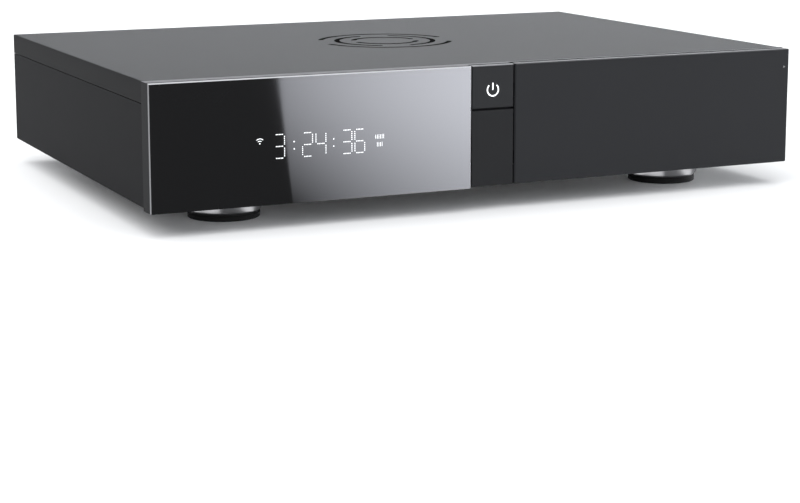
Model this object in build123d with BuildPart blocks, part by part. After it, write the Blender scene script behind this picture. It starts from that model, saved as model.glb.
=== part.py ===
from build123d import *
import os
from math import cos, radians, sin

# A network media player: a metal case on four round feet, a dark glass front with a display,
# a power button, and a hinged door over two drive trays. All lengths are in millimetres.
# +X is to the right seen from the front, +Y runs to the back and +Z is up. The origin is on
# the table, under the middle of the case.

# Whole case
case_width = 430.0
case_depth = 302.0
front_height = 73.6
foot_lift = 14.5
cut_overrun = 4.0
edge_ease = 0.3
plate_gap = 0.2

# Case plates
side_inset = 0.5
side_thickness = 2.0
base_thickness = 1.5
base_lift = 1.3
lid_thickness = 2.0
lid_skirt_height = 12.6
skirt_thickness = 1.8
skirt_seam = 0.4
lid_front_gap = 0.3
lid_edge_radius = 0.8
lip_thickness = 1.2
lip_below_seam = 8.0
lip_above_seam = 8.0
return_width = 12.0
return_thickness = 2.0
rear_thickness = 1.5
rear_inset = 2.0
rear_lip_height = 7.0

# Ring design pressed in the lid
ring_radii = (43.0, 32.0, 21.0)
ring_starts = (10, 100, 10)
ring_sweep = 140
ring_groove = 3.6
ring_depth = 0.35

# Front frame, glass and display
frame_depth = 10.0
plate_end_inset = 0.2
plate_bevel = 0.5
glass_width = 200.0
glass_thickness = 4.0
glass_proud = 2.5
glass_bevel = 0.8
window_wall = 3.0
window_rim = 5.0
display_from_left = 105.0
display_from_bottom = 33.7
display_width = 96.0
display_height = 30.0
display_play = 0.3
display_board_margin = 10.0
display_board_thickness = 1.6

# Button column
column_gap = 1.5
column_width = 28.2
column_plate = 3.0
column_edge_gap = 0.4
button_line = 46.3
button_gap = 1.0
button_travel = 0.8
button_back_gap = 0.5
stem_width = 12.0
stem_height = 10.0
stem_reach = 2.4
stem_play = 0.15
guide_pin_radius = 1.0
guide_pin_play = 0.05
guide_pin_spacing = 18.0
guide_pin_reach = 5.5
nib_radius = 1.6
nib_play = 0.05
nib_reach = 2.6
switch_size = 7.0
switch_height = 3.4
switch_bore_spare = 0.4
switch_board_width = 24.0
switch_board_height = 20.0
switch_board_thickness = 1.6
symbol_diameter = 8.2
symbol_stroke = 0.8
symbol_above_middle = -1.9
symbol_gap_angle = 96
symbol_bar_length = 4.5
symbol_bar_rise = 2.05

# Door, its hinge and its magnets
door_gap = 1.0
door_thickness = 6.0
door_back_gap = 1.5
door_corner_radius = 1.0
door_hinge_chamfer = 0.8
door_hinge_round = 3.4
finger_bevel = 2.0
hinge_from_edge = 4.0
hinge_from_face = 3.0
hinge_pin_radius = 1.0
hinge_pin_play = 0.05
hinge_pin_seat = 6.0
hinge_lug_radius = 1.8
hinge_lug_height = 8.0
hinge_lug_from_end = 12.0
hinge_lug_gap = 0.35
magnet_radius = 3.5
magnet_thickness = 3.0
magnet_recess = 0.1
magnet_from_end = 22.0
strike_thickness = 1.0
jamb_width = 13.0

# Drive trays and their cage
drive_width = 101.6
drive_length = 147.0
drive_play = 0.5
drive_hole_width = 95.25
drive_hole_lengths = (41.28, 85.73)
drive_hole_radius = 1.9
tray_wall = 1.8
tray_wall_height = 13.0
tray_floor = 1.6
tray_end_spare = 3.0
tray_floor_lift = 1.7
tray_vent_width = 6.0
tray_vent_count = 5
tray_vent_margin = 22.0
tray_face_thickness = 3.0
tray_face_setback = 20.0
tray_face_gap = 0.8
tray_side_play = 0.4
tray_face_ease = 0.6
handle_width = 50.0
handle_depth = 8.6
handle_height = 9.0
handle_bar = 3.0
handle_screw_radius = 1.2
sill_height = 5.0
cage_thickness = 1.2
cage_top_margin = 1.2
cage_foot_width = 8.0
cage_top_thickness = 1.0
cage_slot_length = 34.0
cage_slot_width = 5.0
cage_slot_pitch = 11.0
cage_slot_count = 8
cage_slot_rows = 3
cage_slot_row_gap = 14.0
guide_width = 2.8
guide_thickness = 1.2
guide_play = 0.2

# Drive backplane
backplane_thickness = 1.6
sata_width = 42.0
sata_height = 5.0
sata_depth = 4.6
sata_lift = 3.4
sata_gap = 0.4

# Main board and what it carries
board_width = 150.0
board_depth = 108.0
board_side_gap = 8.0
board_rear_gap = 2.0
board_thickness = 1.6
standoff_height = 6.0
standoff_radius = 3.0
standoff_bore = 1.25
standoff_thread = 3.0
standoff_margin = 5.0
sink_size = 62.0
sink_base = 4.0
sink_fin = 1.6
sink_fin_height = 16.0
sink_fin_count = 10
sink_from_front = 46.0
chip_size = 21.0
chip_thickness = 2.0
memory_width = 9.0
memory_length = 13.0
memory_thickness = 1.2
memory_pitch = 15.0
memory_from_sink = 14.0

# Rear sockets
socket_margin = 14.0
socket_gap = 5.0
socket_proud = 0.5
socket_play = 0.4
hdmi_count = 2
hdmi_width = 15.6
hdmi_height = 6.4
hdmi_depth = 13.0
hdmi_wall = 0.7
hdmi_floor = 2.0
usb_width = 14.6
usb_height = 16.0
usb_depth = 19.0
usb_port_height = 5.2
usb_port_shares = (0.25, 0.75)
usb_wall = 0.9
usb_floor = 4.0
lan_width = 16.5
lan_height = 13.6
lan_depth = 21.0
lan_port_width = 12.0
lan_port_height = 8.0
lan_port_lift = 2.0
lan_floor = 6.0
optical_size = 10.0
optical_port = 6.4
optical_depth = 14.0
optical_floor = 4.0
jack_count = 2
jack_size = 9.0
jack_depth = 13.0
jack_bore = 1.8
jack_bore_depth = 6.5
jack_ring_radius = 3.9
jack_ring_proud = 0.8

# Mains inlet and power board
inlet_width = 27.0
inlet_height = 20.0
inlet_depth = 19.0
inlet_wall = 1.5
inlet_floor = 3.0
inlet_flange = 2.2
inlet_flange_thickness = 1.4
inlet_lift = 17.0
inlet_from_board = 26.0
blade_width = 2.0
blade_height = 4.0
blade_length = 9.0
blade_spacing = 7.0
blade_drop = 2.0
power_width = 96.0
power_depth = 92.0
power_cage_gap = 14.0
power_inlet_gap = 6.0
core_width = 36.0
core_depth = 31.0
core_height = 17.0
bobbin_width = 24.0
bobbin_depth = 38.0
bobbin_height = 23.0
core_from_left = 30.0
core_from_front = 30.0
can_radii = (11.0, 6.5, 6.5)
can_heights = (34.0, 25.0, 25.0)
can_from_left = (72.0, 66.0, 82.0)
can_from_front = (70.0, 24.0, 24.0)
can_rim = 0.8

# Fan
fan_size = 60.0
fan_depth = 20.0
fan_corner = 4.0
fan_bore = 28.2
fan_hole_pitch = 50.0
fan_hole_radius = 1.9
fan_motor_radius = 14.0
fan_base_thickness = 3.0
fan_strut_width = 3.0
fan_strut_root = 2.0
fan_strut_count = 4
rotor_radius = 27.0
rotor_hub_radius = 13.0
rotor_end_gap = 0.8
rotor_blade_count = 7
rotor_blade_chord = 18.0
rotor_blade_pitch = 40
rotor_blade_thickness = 1.2
rotor_blade_camber = 1.6
rotor_blade_root = 1.0
rotor_shaft_radius = 1.5
rotor_shaft_play = 0.05
rotor_hub_round = 1.2
grille_slot_width = 3.2
grille_slot_pitch = 6.0
grille_radius = 26.0

# Feet
foot_inset_side = 62.4
foot_inset_end = 53.7
cup_top_radius = 25.9
cup_base_radius = 22.4
cup_edge = 0.8
cup_floor = 3.0
pad_radius = 21.6
pad_height = 4.4
pad_groove = 0.9
pad_groove_height = 2.6
pad_hole_radius = 5.0

# Fasteners
screw_radius = 1.25
screw_head_radius = 2.7
screw_head_height = 1.4
screw_length = 5.0
screw_socket_share = 0.5
screw_recess_share = 0.6
foot_screw_radius = 2.0
foot_screw_head_radius = 3.8
foot_screw_head_height = 2.6
cover_screw_share = 0.32
rear_screw_margin = 9.0

# Vents in the base
vent_width = 3.0
vent_length = 34.0
vent_pitch = 9.0
vent_count = 8

# Planes that the pieces share
left_x = -case_width / 2
right_x = case_width / 2
front_y = -case_depth / 2
rear_y = case_depth / 2
bottom_z = foot_lift
top_z = foot_lift + front_height
door_face_y = front_y + glass_proud
frame_back_y = door_face_y + frame_depth
glass_back_y = front_y + glass_thickness
glass_right_x = left_x + glass_width
column_left_x = glass_right_x + column_gap
column_right_x = column_left_x + column_width
door_left_x = column_right_x + door_gap
plate_top_z = top_z - plate_end_inset
plate_bottom_z = bottom_z + plate_end_inset
side_outer_x = right_x - side_inset
side_inner_x = side_outer_x - side_thickness
base_under_z = bottom_z + base_lift
base_top_z = base_under_z + base_thickness
lid_under_z = top_z - lid_thickness
seam_top_z = top_z - lid_skirt_height
seam_bottom_z = seam_top_z - skirt_seam
rear_face_y = rear_y - rear_inset
rear_inner_y = rear_face_y - rear_thickness
rear_lip_z = lid_under_z - rear_lip_height


def between(x, y, z, mode=Mode.ADD):
    """Adds, or cuts, the box between two planes on each axis."""
    with Locations(((x[0] + x[1]) / 2, (y[0] + y[1]) / 2, (z[0] + z[1]) / 2)):
        Box(x[1] - x[0], y[1] - y[0], z[1] - z[0], mode=mode)


def upright(places, z, radius, mode=Mode.ADD):
    """Adds, or cuts, a vertical rod between two heights at each (x, y) place."""
    with Locations([(x, y, (z[0] + z[1]) / 2) for x, y in places]):
        Cylinder(radius, z[1] - z[0], mode=mode)


def lengthwise(places, y, radius, mode=Mode.ADD):
    """Adds, or cuts, a rod from front to back at each (x, z) place."""
    with Locations([(x, (y[0] + y[1]) / 2, z) for x, z in places]):
        Cylinder(radius, y[1] - y[0], rotation=(90, 0, 0), mode=mode)


def facing_front(y):
    """The upright plane at a depth, with its normal towards the front."""
    return Plane.XZ.offset(-y)


def facing_back(x, y, z):
    """The upright plane at a point, with its normal towards the back."""
    return Plane(origin=(x, y, z), x_dir=(-1, 0, 0), z_dir=(0, 1, 0))


def pan_screw(seat, radius, head_radius, head_height, length):
    """Adds a screw with a round head and a hexagon socket, its head on the plane's outer side."""
    with BuildSketch(seat) as head:
        Circle(head_radius)
    with BuildSketch(seat.offset(head_height)) as recess:
        RegularPolygon(head_radius * screw_socket_share, 6)
    with BuildSketch(seat) as shank:
        Circle(radius)
    extrude(head.sketch, amount=head_height)
    extrude(recess.sketch, amount=-head_height * screw_recess_share, mode=Mode.SUBTRACT)
    extrude(shank.sketch, amount=-length)


def keep(piece, node):
    """Names a finished piece and writes it."""
    piece.part.label = node
    export_step(piece.part, f"parts/{node}.step")


os.makedirs("parts", exist_ok=True)

# Places of the drive trays, which the frame, the cage and the backplane share
tray_width = drive_width + 2 * (drive_play + tray_wall)
tray_window_right_x = right_x - jamb_width
tray_right_x = tray_window_right_x - tray_face_gap
tray_left_x = tray_right_x - tray_width
tray_window_left_x = tray_left_x - tray_face_gap
tray_middle_x = (tray_left_x + tray_right_x) / 2
tray_window_bottom_z = bottom_z + sill_height
tray_window_top_z = top_z - sill_height
tray_face_height = (tray_window_top_z - tray_window_bottom_z - 3 * tray_face_gap) / 2
lower_face_z = tray_window_bottom_z + tray_face_gap
upper_face_z = lower_face_z + tray_face_height + tray_face_gap
tray_face_y = door_face_y + tray_face_setback
tray_front_y = tray_face_y + tray_face_thickness
tray_rear_y = tray_front_y + drive_length + tray_end_spare
cage_left_x = tray_left_x - tray_side_play - cage_thickness
cage_right_x = tray_right_x + tray_side_play + cage_thickness
cage_rear_y = tray_rear_y + sata_gap + sata_depth
cage_top_z = tray_window_top_z + cage_top_margin

# Places on the button column
button_bottom_z = bottom_z + button_line + button_gap
button_middle_x = (column_left_x + column_right_x) / 2
button_middle_z = (button_bottom_z + plate_top_z) / 2
button_back_y = door_face_y + column_plate
button_bed_y = button_back_y + button_travel + button_back_gap
guide_pin_places = [
    (button_middle_x - guide_pin_spacing / 2, button_middle_z),
    (button_middle_x + guide_pin_spacing / 2, button_middle_z),
]
stem_end_y = button_back_y + stem_reach

# Places on the door
hinge_x = door_left_x + hinge_from_edge
hinge_y = door_face_y + hinge_from_face
door_back_y = door_face_y + door_thickness
door_bed_y = door_back_y + door_back_gap
magnet_x = (tray_window_right_x + right_x) / 2
magnet_places = [(magnet_x, plate_bottom_z + magnet_from_end), (magnet_x, plate_top_z - magnet_from_end)]
lower_lug_z = plate_bottom_z + hinge_lug_from_end
upper_lug_z = plate_top_z - hinge_lug_from_end - hinge_lug_height
hinge_lug_runs = [(z, z + hinge_lug_height) for z in (lower_lug_z, upper_lug_z)]
hinge_pin_runs = [
    (plate_bottom_z, lower_lug_z + hinge_lug_height + hinge_lug_gap + hinge_pin_seat),
    (upper_lug_z - hinge_lug_gap - hinge_pin_seat, plate_top_z),
]

# Places of the display behind the glass
display_x = left_x + display_from_left
display_z = bottom_z + display_from_bottom
display_back_y = glass_back_y + window_wall

# Front frame: a solid aluminium frame with a bed for the glass, a button column and a door recess
with BuildPart() as front_frame:
    between((left_x, right_x), (door_face_y, frame_back_y), (bottom_z, top_z))
    between(
        (left_x - cut_overrun, glass_right_x),
        (door_face_y - cut_overrun, glass_back_y),
        (bottom_z - cut_overrun, top_z + cut_overrun),
        mode=Mode.SUBTRACT,
    )
    between(
        (glass_right_x, column_right_x + cut_overrun),
        (door_face_y - cut_overrun, button_back_y),
        (bottom_z - cut_overrun, top_z + cut_overrun),
        mode=Mode.SUBTRACT,
    )
    between(
        (column_left_x - column_edge_gap, column_right_x),
        (button_back_y - cut_overrun, button_bed_y),
        (button_bottom_z - column_edge_gap, top_z + cut_overrun),
        mode=Mode.SUBTRACT,
    )
    between(
        (column_right_x, right_x + cut_overrun),
        (door_face_y - cut_overrun, door_bed_y),
        (bottom_z - cut_overrun, top_z + cut_overrun),
        mode=Mode.SUBTRACT,
    )
    between(
        (tray_window_left_x, tray_window_right_x),
        (door_face_y, frame_back_y + cut_overrun),
        (tray_window_bottom_z, tray_window_top_z),
        mode=Mode.SUBTRACT,
    )
    between(
        (left_x + window_rim, glass_right_x - window_rim),
        (display_back_y, frame_back_y + cut_overrun),
        (bottom_z + window_rim, top_z - window_rim),
        mode=Mode.SUBTRACT,
    )
    with BuildSketch(facing_front(glass_back_y - cut_overrun)):
        with Locations((display_x, display_z)):
            Rectangle(display_width + 2 * display_play, display_height + 2 * display_play)
    extrude(amount=-(window_wall + 2 * cut_overrun), mode=Mode.SUBTRACT)
    with BuildSketch(facing_front(frame_back_y + cut_overrun)):
        with Locations((button_middle_x, button_middle_z)):
            Rectangle(stem_width + 2 * stem_play, stem_height + 2 * stem_play)
    extrude(amount=frame_back_y + cut_overrun - button_back_y, mode=Mode.SUBTRACT)
    lengthwise(
        guide_pin_places,
        (button_back_y, frame_back_y + cut_overrun),
        guide_pin_radius + guide_pin_play,
        mode=Mode.SUBTRACT,
    )
    for lug_run in hinge_lug_runs:
        between(
            (hinge_x - hinge_lug_radius, hinge_x + hinge_lug_radius),
            (door_bed_y - cut_overrun, frame_back_y + cut_overrun),
            lug_run,
            mode=Mode.SUBTRACT,
        )
    lengthwise(magnet_places, (door_face_y, door_bed_y + strike_thickness), magnet_radius, mode=Mode.SUBTRACT)
keep(front_frame, "front_frame")

# Glass panel: stands proud of the door, with a polished bevel round its front
with BuildPart() as glass_panel:
    between((left_x, glass_right_x), (front_y, glass_back_y), (bottom_z, top_z))
    chamfer(glass_panel.faces().sort_by(Axis.Y)[0].edges(), glass_bevel)
keep(glass_panel, "glass_panel")

# Display: a dark module behind the glass and the board that drives it
with BuildPart() as display_module:
    between(
        (display_x - display_width / 2, display_x + display_width / 2),
        (glass_back_y, display_back_y),
        (display_z - display_height / 2, display_z + display_height / 2),
    )
    chamfer(display_module.edges().filter_by(Axis.Y), edge_ease)
keep(display_module, "display_module")

with BuildPart() as display_board:
    with BuildSketch(facing_front(display_back_y)):
        with Locations((display_x, display_z)):
            Rectangle(display_width + 2 * display_board_margin, display_height + 2 * display_board_margin)
            with GridLocations(
                display_width + display_board_margin, display_height + display_board_margin, 2, 2
            ):
                Circle(screw_radius, mode=Mode.SUBTRACT)
    extrude(amount=-display_board_thickness)
keep(display_board, "display_board")

# Lower column panel: a blank plate under the button
with BuildPart() as column_panel:
    between(
        (column_left_x, column_right_x),
        (door_face_y, button_back_y),
        (plate_bottom_z, bottom_z + button_line),
    )
    chamfer(column_panel.faces().sort_by(Axis.Y)[0].edges(), edge_ease)
keep(column_panel, "column_panel")

# Power symbol: a broken ring and a bar, moulded through the button's plate
symbol_middle_z = button_middle_z + symbol_above_middle
symbol_ring_radius = (symbol_diameter - symbol_stroke) / 2
symbol_arc = CenterArc((0, 0), symbol_ring_radius, 90 + symbol_gap_angle / 2, 360 - symbol_gap_angle)
with BuildSketch(facing_front(door_face_y)) as symbol_outline:
    with Locations((button_middle_x, symbol_middle_z)):
        SlotArc(symbol_arc, symbol_stroke)
    with Locations((button_middle_x, symbol_middle_z + symbol_bar_rise)):
        SlotOverall(symbol_bar_length, symbol_stroke, rotation=90)

with BuildPart() as power_symbol:
    extrude(symbol_outline.sketch, amount=-column_plate)
keep(power_symbol, "power_symbol")

# Power button: a plate with a stem, two guide pins and a nib that works the switch
with BuildPart() as power_button:
    between((column_left_x, column_right_x), (door_face_y, button_back_y), (button_bottom_z, plate_top_z))
    chamfer(power_button.faces().sort_by(Axis.Y)[0].edges(), plate_bevel)
    between(
        (button_middle_x - stem_width / 2, button_middle_x + stem_width / 2),
        (button_back_y, stem_end_y),
        (button_middle_z - stem_height / 2, button_middle_z + stem_height / 2),
    )
    lengthwise(guide_pin_places, (button_back_y, button_back_y + guide_pin_reach), guide_pin_radius)
    lengthwise([(button_middle_x, button_middle_z)], (stem_end_y, stem_end_y + nib_reach), nib_radius)
    extrude(symbol_outline.sketch, amount=-column_plate, mode=Mode.SUBTRACT)
keep(power_button, "power_button")

# Button switch, on a small board behind the column
switch_front_y = frame_back_y - switch_height
with BuildPart() as tact_switch:
    between(
        (button_middle_x - switch_size / 2, button_middle_x + switch_size / 2),
        (switch_front_y, frame_back_y),
        (button_middle_z - switch_size / 2, button_middle_z + switch_size / 2),
    )
    chamfer(tact_switch.edges().filter_by(Axis.Y), edge_ease)
    lengthwise(
        [(button_middle_x, button_middle_z)],
        (switch_front_y - cut_overrun, stem_end_y + nib_reach + button_travel + switch_bore_spare),
        nib_radius + nib_play,
        mode=Mode.SUBTRACT,
    )
keep(tact_switch, "tact_switch")

with BuildPart() as switch_board:
    with BuildSketch(facing_front(frame_back_y)):
        with Locations((button_middle_x, button_middle_z)):
            Rectangle(switch_board_width, switch_board_height)
            with GridLocations(guide_pin_spacing, 0, 2, 1):
                Circle(guide_pin_radius + guide_pin_play, mode=Mode.SUBTRACT)
    extrude(amount=-switch_board_thickness)
keep(switch_board, "switch_board")

# Door: an aluminium plate, rounded at its hinge edge and bevelled behind its pull edge
with BuildPart() as door:
    between((door_left_x, right_x), (door_face_y, door_back_y), (plate_bottom_z, plate_top_z))
    hinge_edges = door.edges().filter_by(Axis.Z).group_by(Axis.X)[0].sort_by(Axis.Y)
    pull_edges = door.edges().filter_by(Axis.Z).group_by(Axis.X)[-1].sort_by(Axis.Y)
    chamfer(hinge_edges[0], door_hinge_chamfer)
    fillet(hinge_edges[-1], door_hinge_round)
    fillet(pull_edges[0], door_corner_radius)
    chamfer(pull_edges[-1], finger_bevel)
    chamfer(door.edges().filter_by(Axis.X).group_by(Axis.Y)[0], plate_bevel)
    notch_reach = hinge_lug_radius + hinge_lug_gap
    for lug_start, lug_end in hinge_lug_runs:
        between(
            (door_left_x - cut_overrun, hinge_x + notch_reach),
            (hinge_y - notch_reach, door_back_y + cut_overrun),
            (lug_start - hinge_lug_gap, lug_end + hinge_lug_gap),
            mode=Mode.SUBTRACT,
        )
    for pin_run in hinge_pin_runs:
        upright([(hinge_x, hinge_y)], pin_run, hinge_pin_radius, mode=Mode.SUBTRACT)
    lengthwise(
        magnet_places,
        (door_back_y - magnet_thickness - magnet_recess, door_back_y + cut_overrun),
        magnet_radius,
        mode=Mode.SUBTRACT,
    )
keep(door, "door")

# Hinge lugs: two eyes whose tails sit in slots in the frame
with BuildPart() as hinge_lugs:
    for lug_run in hinge_lug_runs:
        upright([(hinge_x, hinge_y)], lug_run, hinge_lug_radius)
        between((hinge_x - hinge_lug_radius, hinge_x + hinge_lug_radius), (hinge_y, frame_back_y), lug_run)
        upright([(hinge_x, hinge_y)], lug_run, hinge_pin_radius + hinge_pin_play, mode=Mode.SUBTRACT)
keep(hinge_lugs, "hinge_lugs")

# Hinge pins: pressed into the door from its ends, each turning in one of the lugs
with BuildPart() as door_hinge_pins:
    for pin_run in hinge_pin_runs:
        upright([(hinge_x, hinge_y)], pin_run, hinge_pin_radius)
keep(door_hinge_pins, "door_hinge_pins")

# Door magnets, and the steel strikes that they meet on the frame
with BuildPart() as door_magnets:
    magnet_front_y = door_back_y - magnet_thickness - magnet_recess
    lengthwise(magnet_places, (magnet_front_y, magnet_front_y + magnet_thickness), magnet_radius)
keep(door_magnets, "door_magnets")

with BuildPart() as strike_plates:
    lengthwise(magnet_places, (door_bed_y, door_bed_y + strike_thickness), magnet_radius)
keep(strike_plates, "strike_plates")

# Places of the feet and of the fan, which the base and the rear panel follow
foot_x = right_x - foot_inset_side
foot_y = rear_y - foot_inset_end
foot_places = {
    "front_left": (-foot_x, -foot_y),
    "front_right": (foot_x, -foot_y),
    "rear_left": (-foot_x, foot_y),
    "rear_right": (foot_x, foot_y),
}
fan_x = tray_middle_x
fan_z = base_top_z + fan_size / 2
fan_front_y = rear_inner_y - fan_depth

# Places of the two boards and their screws
board_left_x = -side_inner_x + board_side_gap
board_right_x = board_left_x + board_width
board_rear_y = rear_inner_y - board_rear_gap
board_front_y = board_rear_y - board_depth
board_under_z = base_top_z + standoff_height
board_top_z = board_under_z + board_thickness
power_right_x = cage_left_x - power_cage_gap
power_left_x = power_right_x - power_width
power_rear_y = rear_face_y - inlet_depth - power_inlet_gap
power_front_y = power_rear_y - power_depth
standoff_places = [
    (x, y)
    for left, right, front, rear in (
        (board_left_x, board_right_x, board_front_y, board_rear_y),
        (power_left_x, power_right_x, power_front_y, power_rear_y),
    )
    for x in (left + standoff_margin, right - standoff_margin)
    for y in (front + standoff_margin, rear - standoff_margin)
]

# Base plate: flat sheet with vent slots under the trays and the power board
with BuildPart() as base_plate:
    with BuildSketch(Plane.XY.offset(base_under_z)):
        with Locations((0, (frame_back_y + rear_inner_y) / 2)):
            Rectangle(2 * side_inner_x, rear_inner_y - frame_back_y)
        with Locations(*foot_places.values()):
            Circle(foot_screw_radius, mode=Mode.SUBTRACT)
        with Locations((tray_middle_x, 0), (power_left_x + power_width / 2, 0)):
            with GridLocations(vent_pitch, 0, vent_count, 1):
                SlotOverall(vent_length, vent_width, rotation=90, mode=Mode.SUBTRACT)
    extrude(amount=base_thickness)
keep(base_plate, "base_plate")


# Side panels: flat plates with an inner lip behind the lid's skirt and a return at the rear
def side_panel(side):
    """The panel on one side: -1 is left and 1 is right."""
    outer, inner = side * side_outer_x, side * side_inner_x
    lip = side * (side_inner_x - lip_thickness)
    turn = side * (side_inner_x - return_width)
    with BuildPart() as panel:
        between(sorted((outer, inner)), (frame_back_y, rear_y), (base_under_z, seam_bottom_z))
        under_edges = panel.edges().filter_by(Axis.Y).group_by(Axis.Z)[0]
        chamfer(under_edges.sort_by(lambda edge: side * edge.center().X)[-1], edge_ease)
        between(
            sorted((inner, lip)),
            (frame_back_y + lid_front_gap, rear_inner_y - return_thickness),
            (seam_bottom_z - lip_below_seam, seam_top_z + lip_above_seam),
        )
        between(
            sorted((inner, turn)),
            (rear_inner_y - return_thickness, rear_inner_y),
            (base_top_z, seam_bottom_z),
        )
        lengthwise(
            [(side * x, z) for x, z in rear_screw_places],
            (rear_inner_y - screw_length, rear_inner_y + cut_overrun),
            screw_radius,
            mode=Mode.SUBTRACT,
        )
    return panel


rear_screw_x = side_inner_x - return_width / 2
rear_screw_places = [
    (rear_screw_x, base_top_z + rear_screw_margin),
    (rear_screw_x, seam_bottom_z - rear_screw_margin),
]
keep(side_panel(-1), "side_panel_left")
keep(side_panel(1), "side_panel_right")

# Rear sockets in a row along the main board's rear edge
socket_face_y = rear_face_y + socket_proud
hdmi_places = [
    board_left_x + socket_margin + hdmi_width / 2 + i * (hdmi_width + socket_gap) for i in range(hdmi_count)
]
lan_x = hdmi_places[-1] + (hdmi_width + lan_width) / 2 + socket_gap
usb_x = lan_x + (lan_width + usb_width) / 2 + socket_gap
optical_x = usb_x + (usb_width + optical_size) / 2 + socket_gap
jack_places = [
    optical_x + (optical_size + jack_size) / 2 + socket_gap + i * (jack_size + socket_gap)
    for i in range(jack_count)
]
jack_z = board_top_z + jack_size / 2
inlet_x = power_left_x + inlet_from_board
inlet_z = base_top_z + inlet_lift
cover_screw_xs = [-case_width * cover_screw_share, 0, case_width * cover_screw_share]
cover_screw_z = (rear_lip_z + lid_under_z) / 2

# Rear panel: sheet with cut-outs for the sockets, the inlet and the fan's grille
with BuildPart() as rear_panel:
    with BuildSketch(facing_front(rear_inner_y)):
        with Locations((0, (base_under_z + lid_under_z) / 2)):
            Rectangle(2 * (side_inner_x - plate_gap), lid_under_z - base_under_z)
        for x, width, height in (
            *[(x, hdmi_width, hdmi_height) for x in hdmi_places],
            (lan_x, lan_width, lan_height),
            (usb_x, usb_width, usb_height),
            (optical_x, optical_size, optical_size),
        ):
            with Locations((x, board_top_z + height / 2)):
                Rectangle(width + 2 * socket_play, height + 2 * socket_play, mode=Mode.SUBTRACT)
        with Locations(*[(x, jack_z) for x in jack_places]):
            Circle(jack_ring_radius + socket_play, mode=Mode.SUBTRACT)
        with Locations((inlet_x, inlet_z)):
            Rectangle(inlet_width + 2 * plate_gap, inlet_height + 2 * plate_gap, mode=Mode.SUBTRACT)
        with Locations((fan_x, fan_z)):
            slot_count = int(grille_radius // grille_slot_pitch)
            for step in range(-slot_count, slot_count + 1):
                slot_x = step * grille_slot_pitch
                slot_length = 2 * (grille_radius**2 - slot_x**2) ** 0.5
                with Locations((slot_x, 0)):
                    SlotOverall(slot_length, grille_slot_width, rotation=90, mode=Mode.SUBTRACT)
            with GridLocations(fan_hole_pitch, fan_hole_pitch, 2, 2):
                Circle(fan_hole_radius, mode=Mode.SUBTRACT)
        with Locations(*[(side * x, z) for side in (-1, 1) for x, z in rear_screw_places]):
            Circle(screw_radius, mode=Mode.SUBTRACT)
        with Locations(*[(x, cover_screw_z) for x in cover_screw_xs]):
            Circle(screw_radius, mode=Mode.SUBTRACT)
    extrude(amount=-rear_thickness)
keep(rear_panel, "rear_panel")

# Lid: a top plate with skirts on both sides and a lip at the rear, and a ring design on top
lid_front_y = frame_back_y + lid_front_gap
ring_arcs = [
    CenterArc((0, 0), radius, start + turn, ring_sweep)
    for radius, start in zip(ring_radii, ring_starts)
    for turn in (0, 180)
]
with BuildPart() as top_cover:
    between((-side_outer_x, side_outer_x), (lid_front_y, rear_y), (seam_top_z, top_z))
    fillet(
        top_cover.faces().sort_by(Axis.Z)[-1].edges().filter_by(Axis.Y)
        + top_cover.faces().sort_by(Axis.Z)[-1].edges().filter_by(Axis.X).sort_by(Axis.Y)[-1:],
        lid_edge_radius,
    )
    between(
        (-side_outer_x + skirt_thickness, side_outer_x - skirt_thickness),
        (lid_front_y - cut_overrun, rear_face_y + plate_gap),
        (seam_top_z - cut_overrun, lid_under_z),
        mode=Mode.SUBTRACT,
    )
    between(
        (-side_outer_x + skirt_thickness, side_outer_x - skirt_thickness),
        (rear_face_y, rear_y + cut_overrun),
        (seam_top_z - cut_overrun, rear_lip_z),
        mode=Mode.SUBTRACT,
    )
    with BuildSketch(Plane.XY.offset(top_z)):
        with Locations((0, (lid_front_y + rear_y) / 2)):
            for ring_arc in ring_arcs:
                SlotArc(ring_arc, ring_groove)
    extrude(amount=-ring_depth, mode=Mode.SUBTRACT)
    with Locations(*[facing_back(x, rear_y, cover_screw_z) for x in cover_screw_xs]):
        CounterSinkHole(screw_radius, screw_head_radius, rear_y - rear_face_y, 90)
keep(top_cover, "top_cover")

# Screws of the rear panel and countersunk screws of the lid
with BuildPart() as rear_panel_screws:
    for side in (-1, 1):
        for x, z in rear_screw_places:
            pan_screw(
                facing_back(side * x, rear_face_y, z),
                screw_radius,
                screw_head_radius,
                screw_head_height,
                screw_length,
            )
keep(rear_panel_screws, "rear_panel_screws")

with BuildPart() as cover_screws:
    head_drop = screw_head_radius - screw_radius
    for x in cover_screw_xs:
        seat = facing_back(x, rear_y, cover_screw_z)
        with Locations(seat.offset(-head_drop / 2)):
            Cone(screw_radius, screw_head_radius, head_drop)
        with Locations(seat.offset(-screw_length / 2)):
            Cylinder(screw_radius, screw_length)
        with BuildSketch(seat):
            RegularPolygon(screw_head_radius * screw_socket_share, 6)
        extrude(amount=-head_drop * screw_recess_share, mode=Mode.SUBTRACT)
keep(cover_screws, "cover_screws")


# Drive cage: two upright side plates with feet, and a top plate
def cage_side(outer_x, inner_x, foot_x):
    """One side plate of the cage, with a foot turned outwards on the base."""
    with BuildPart() as plate:
        between(sorted((outer_x, inner_x)), (frame_back_y, cage_rear_y), (base_top_z, cage_top_z))
        between(
            sorted((outer_x, foot_x)),
            (frame_back_y, cage_rear_y),
            (base_top_z, base_top_z + cage_thickness),
        )
    return plate


keep(cage_side(cage_left_x, cage_left_x + cage_thickness, cage_left_x - cage_foot_width), "drive_cage_left")
keep(
    cage_side(cage_right_x, cage_right_x - cage_thickness, (cage_right_x + side_inner_x) / 2),
    "drive_cage_right",
)

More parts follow.
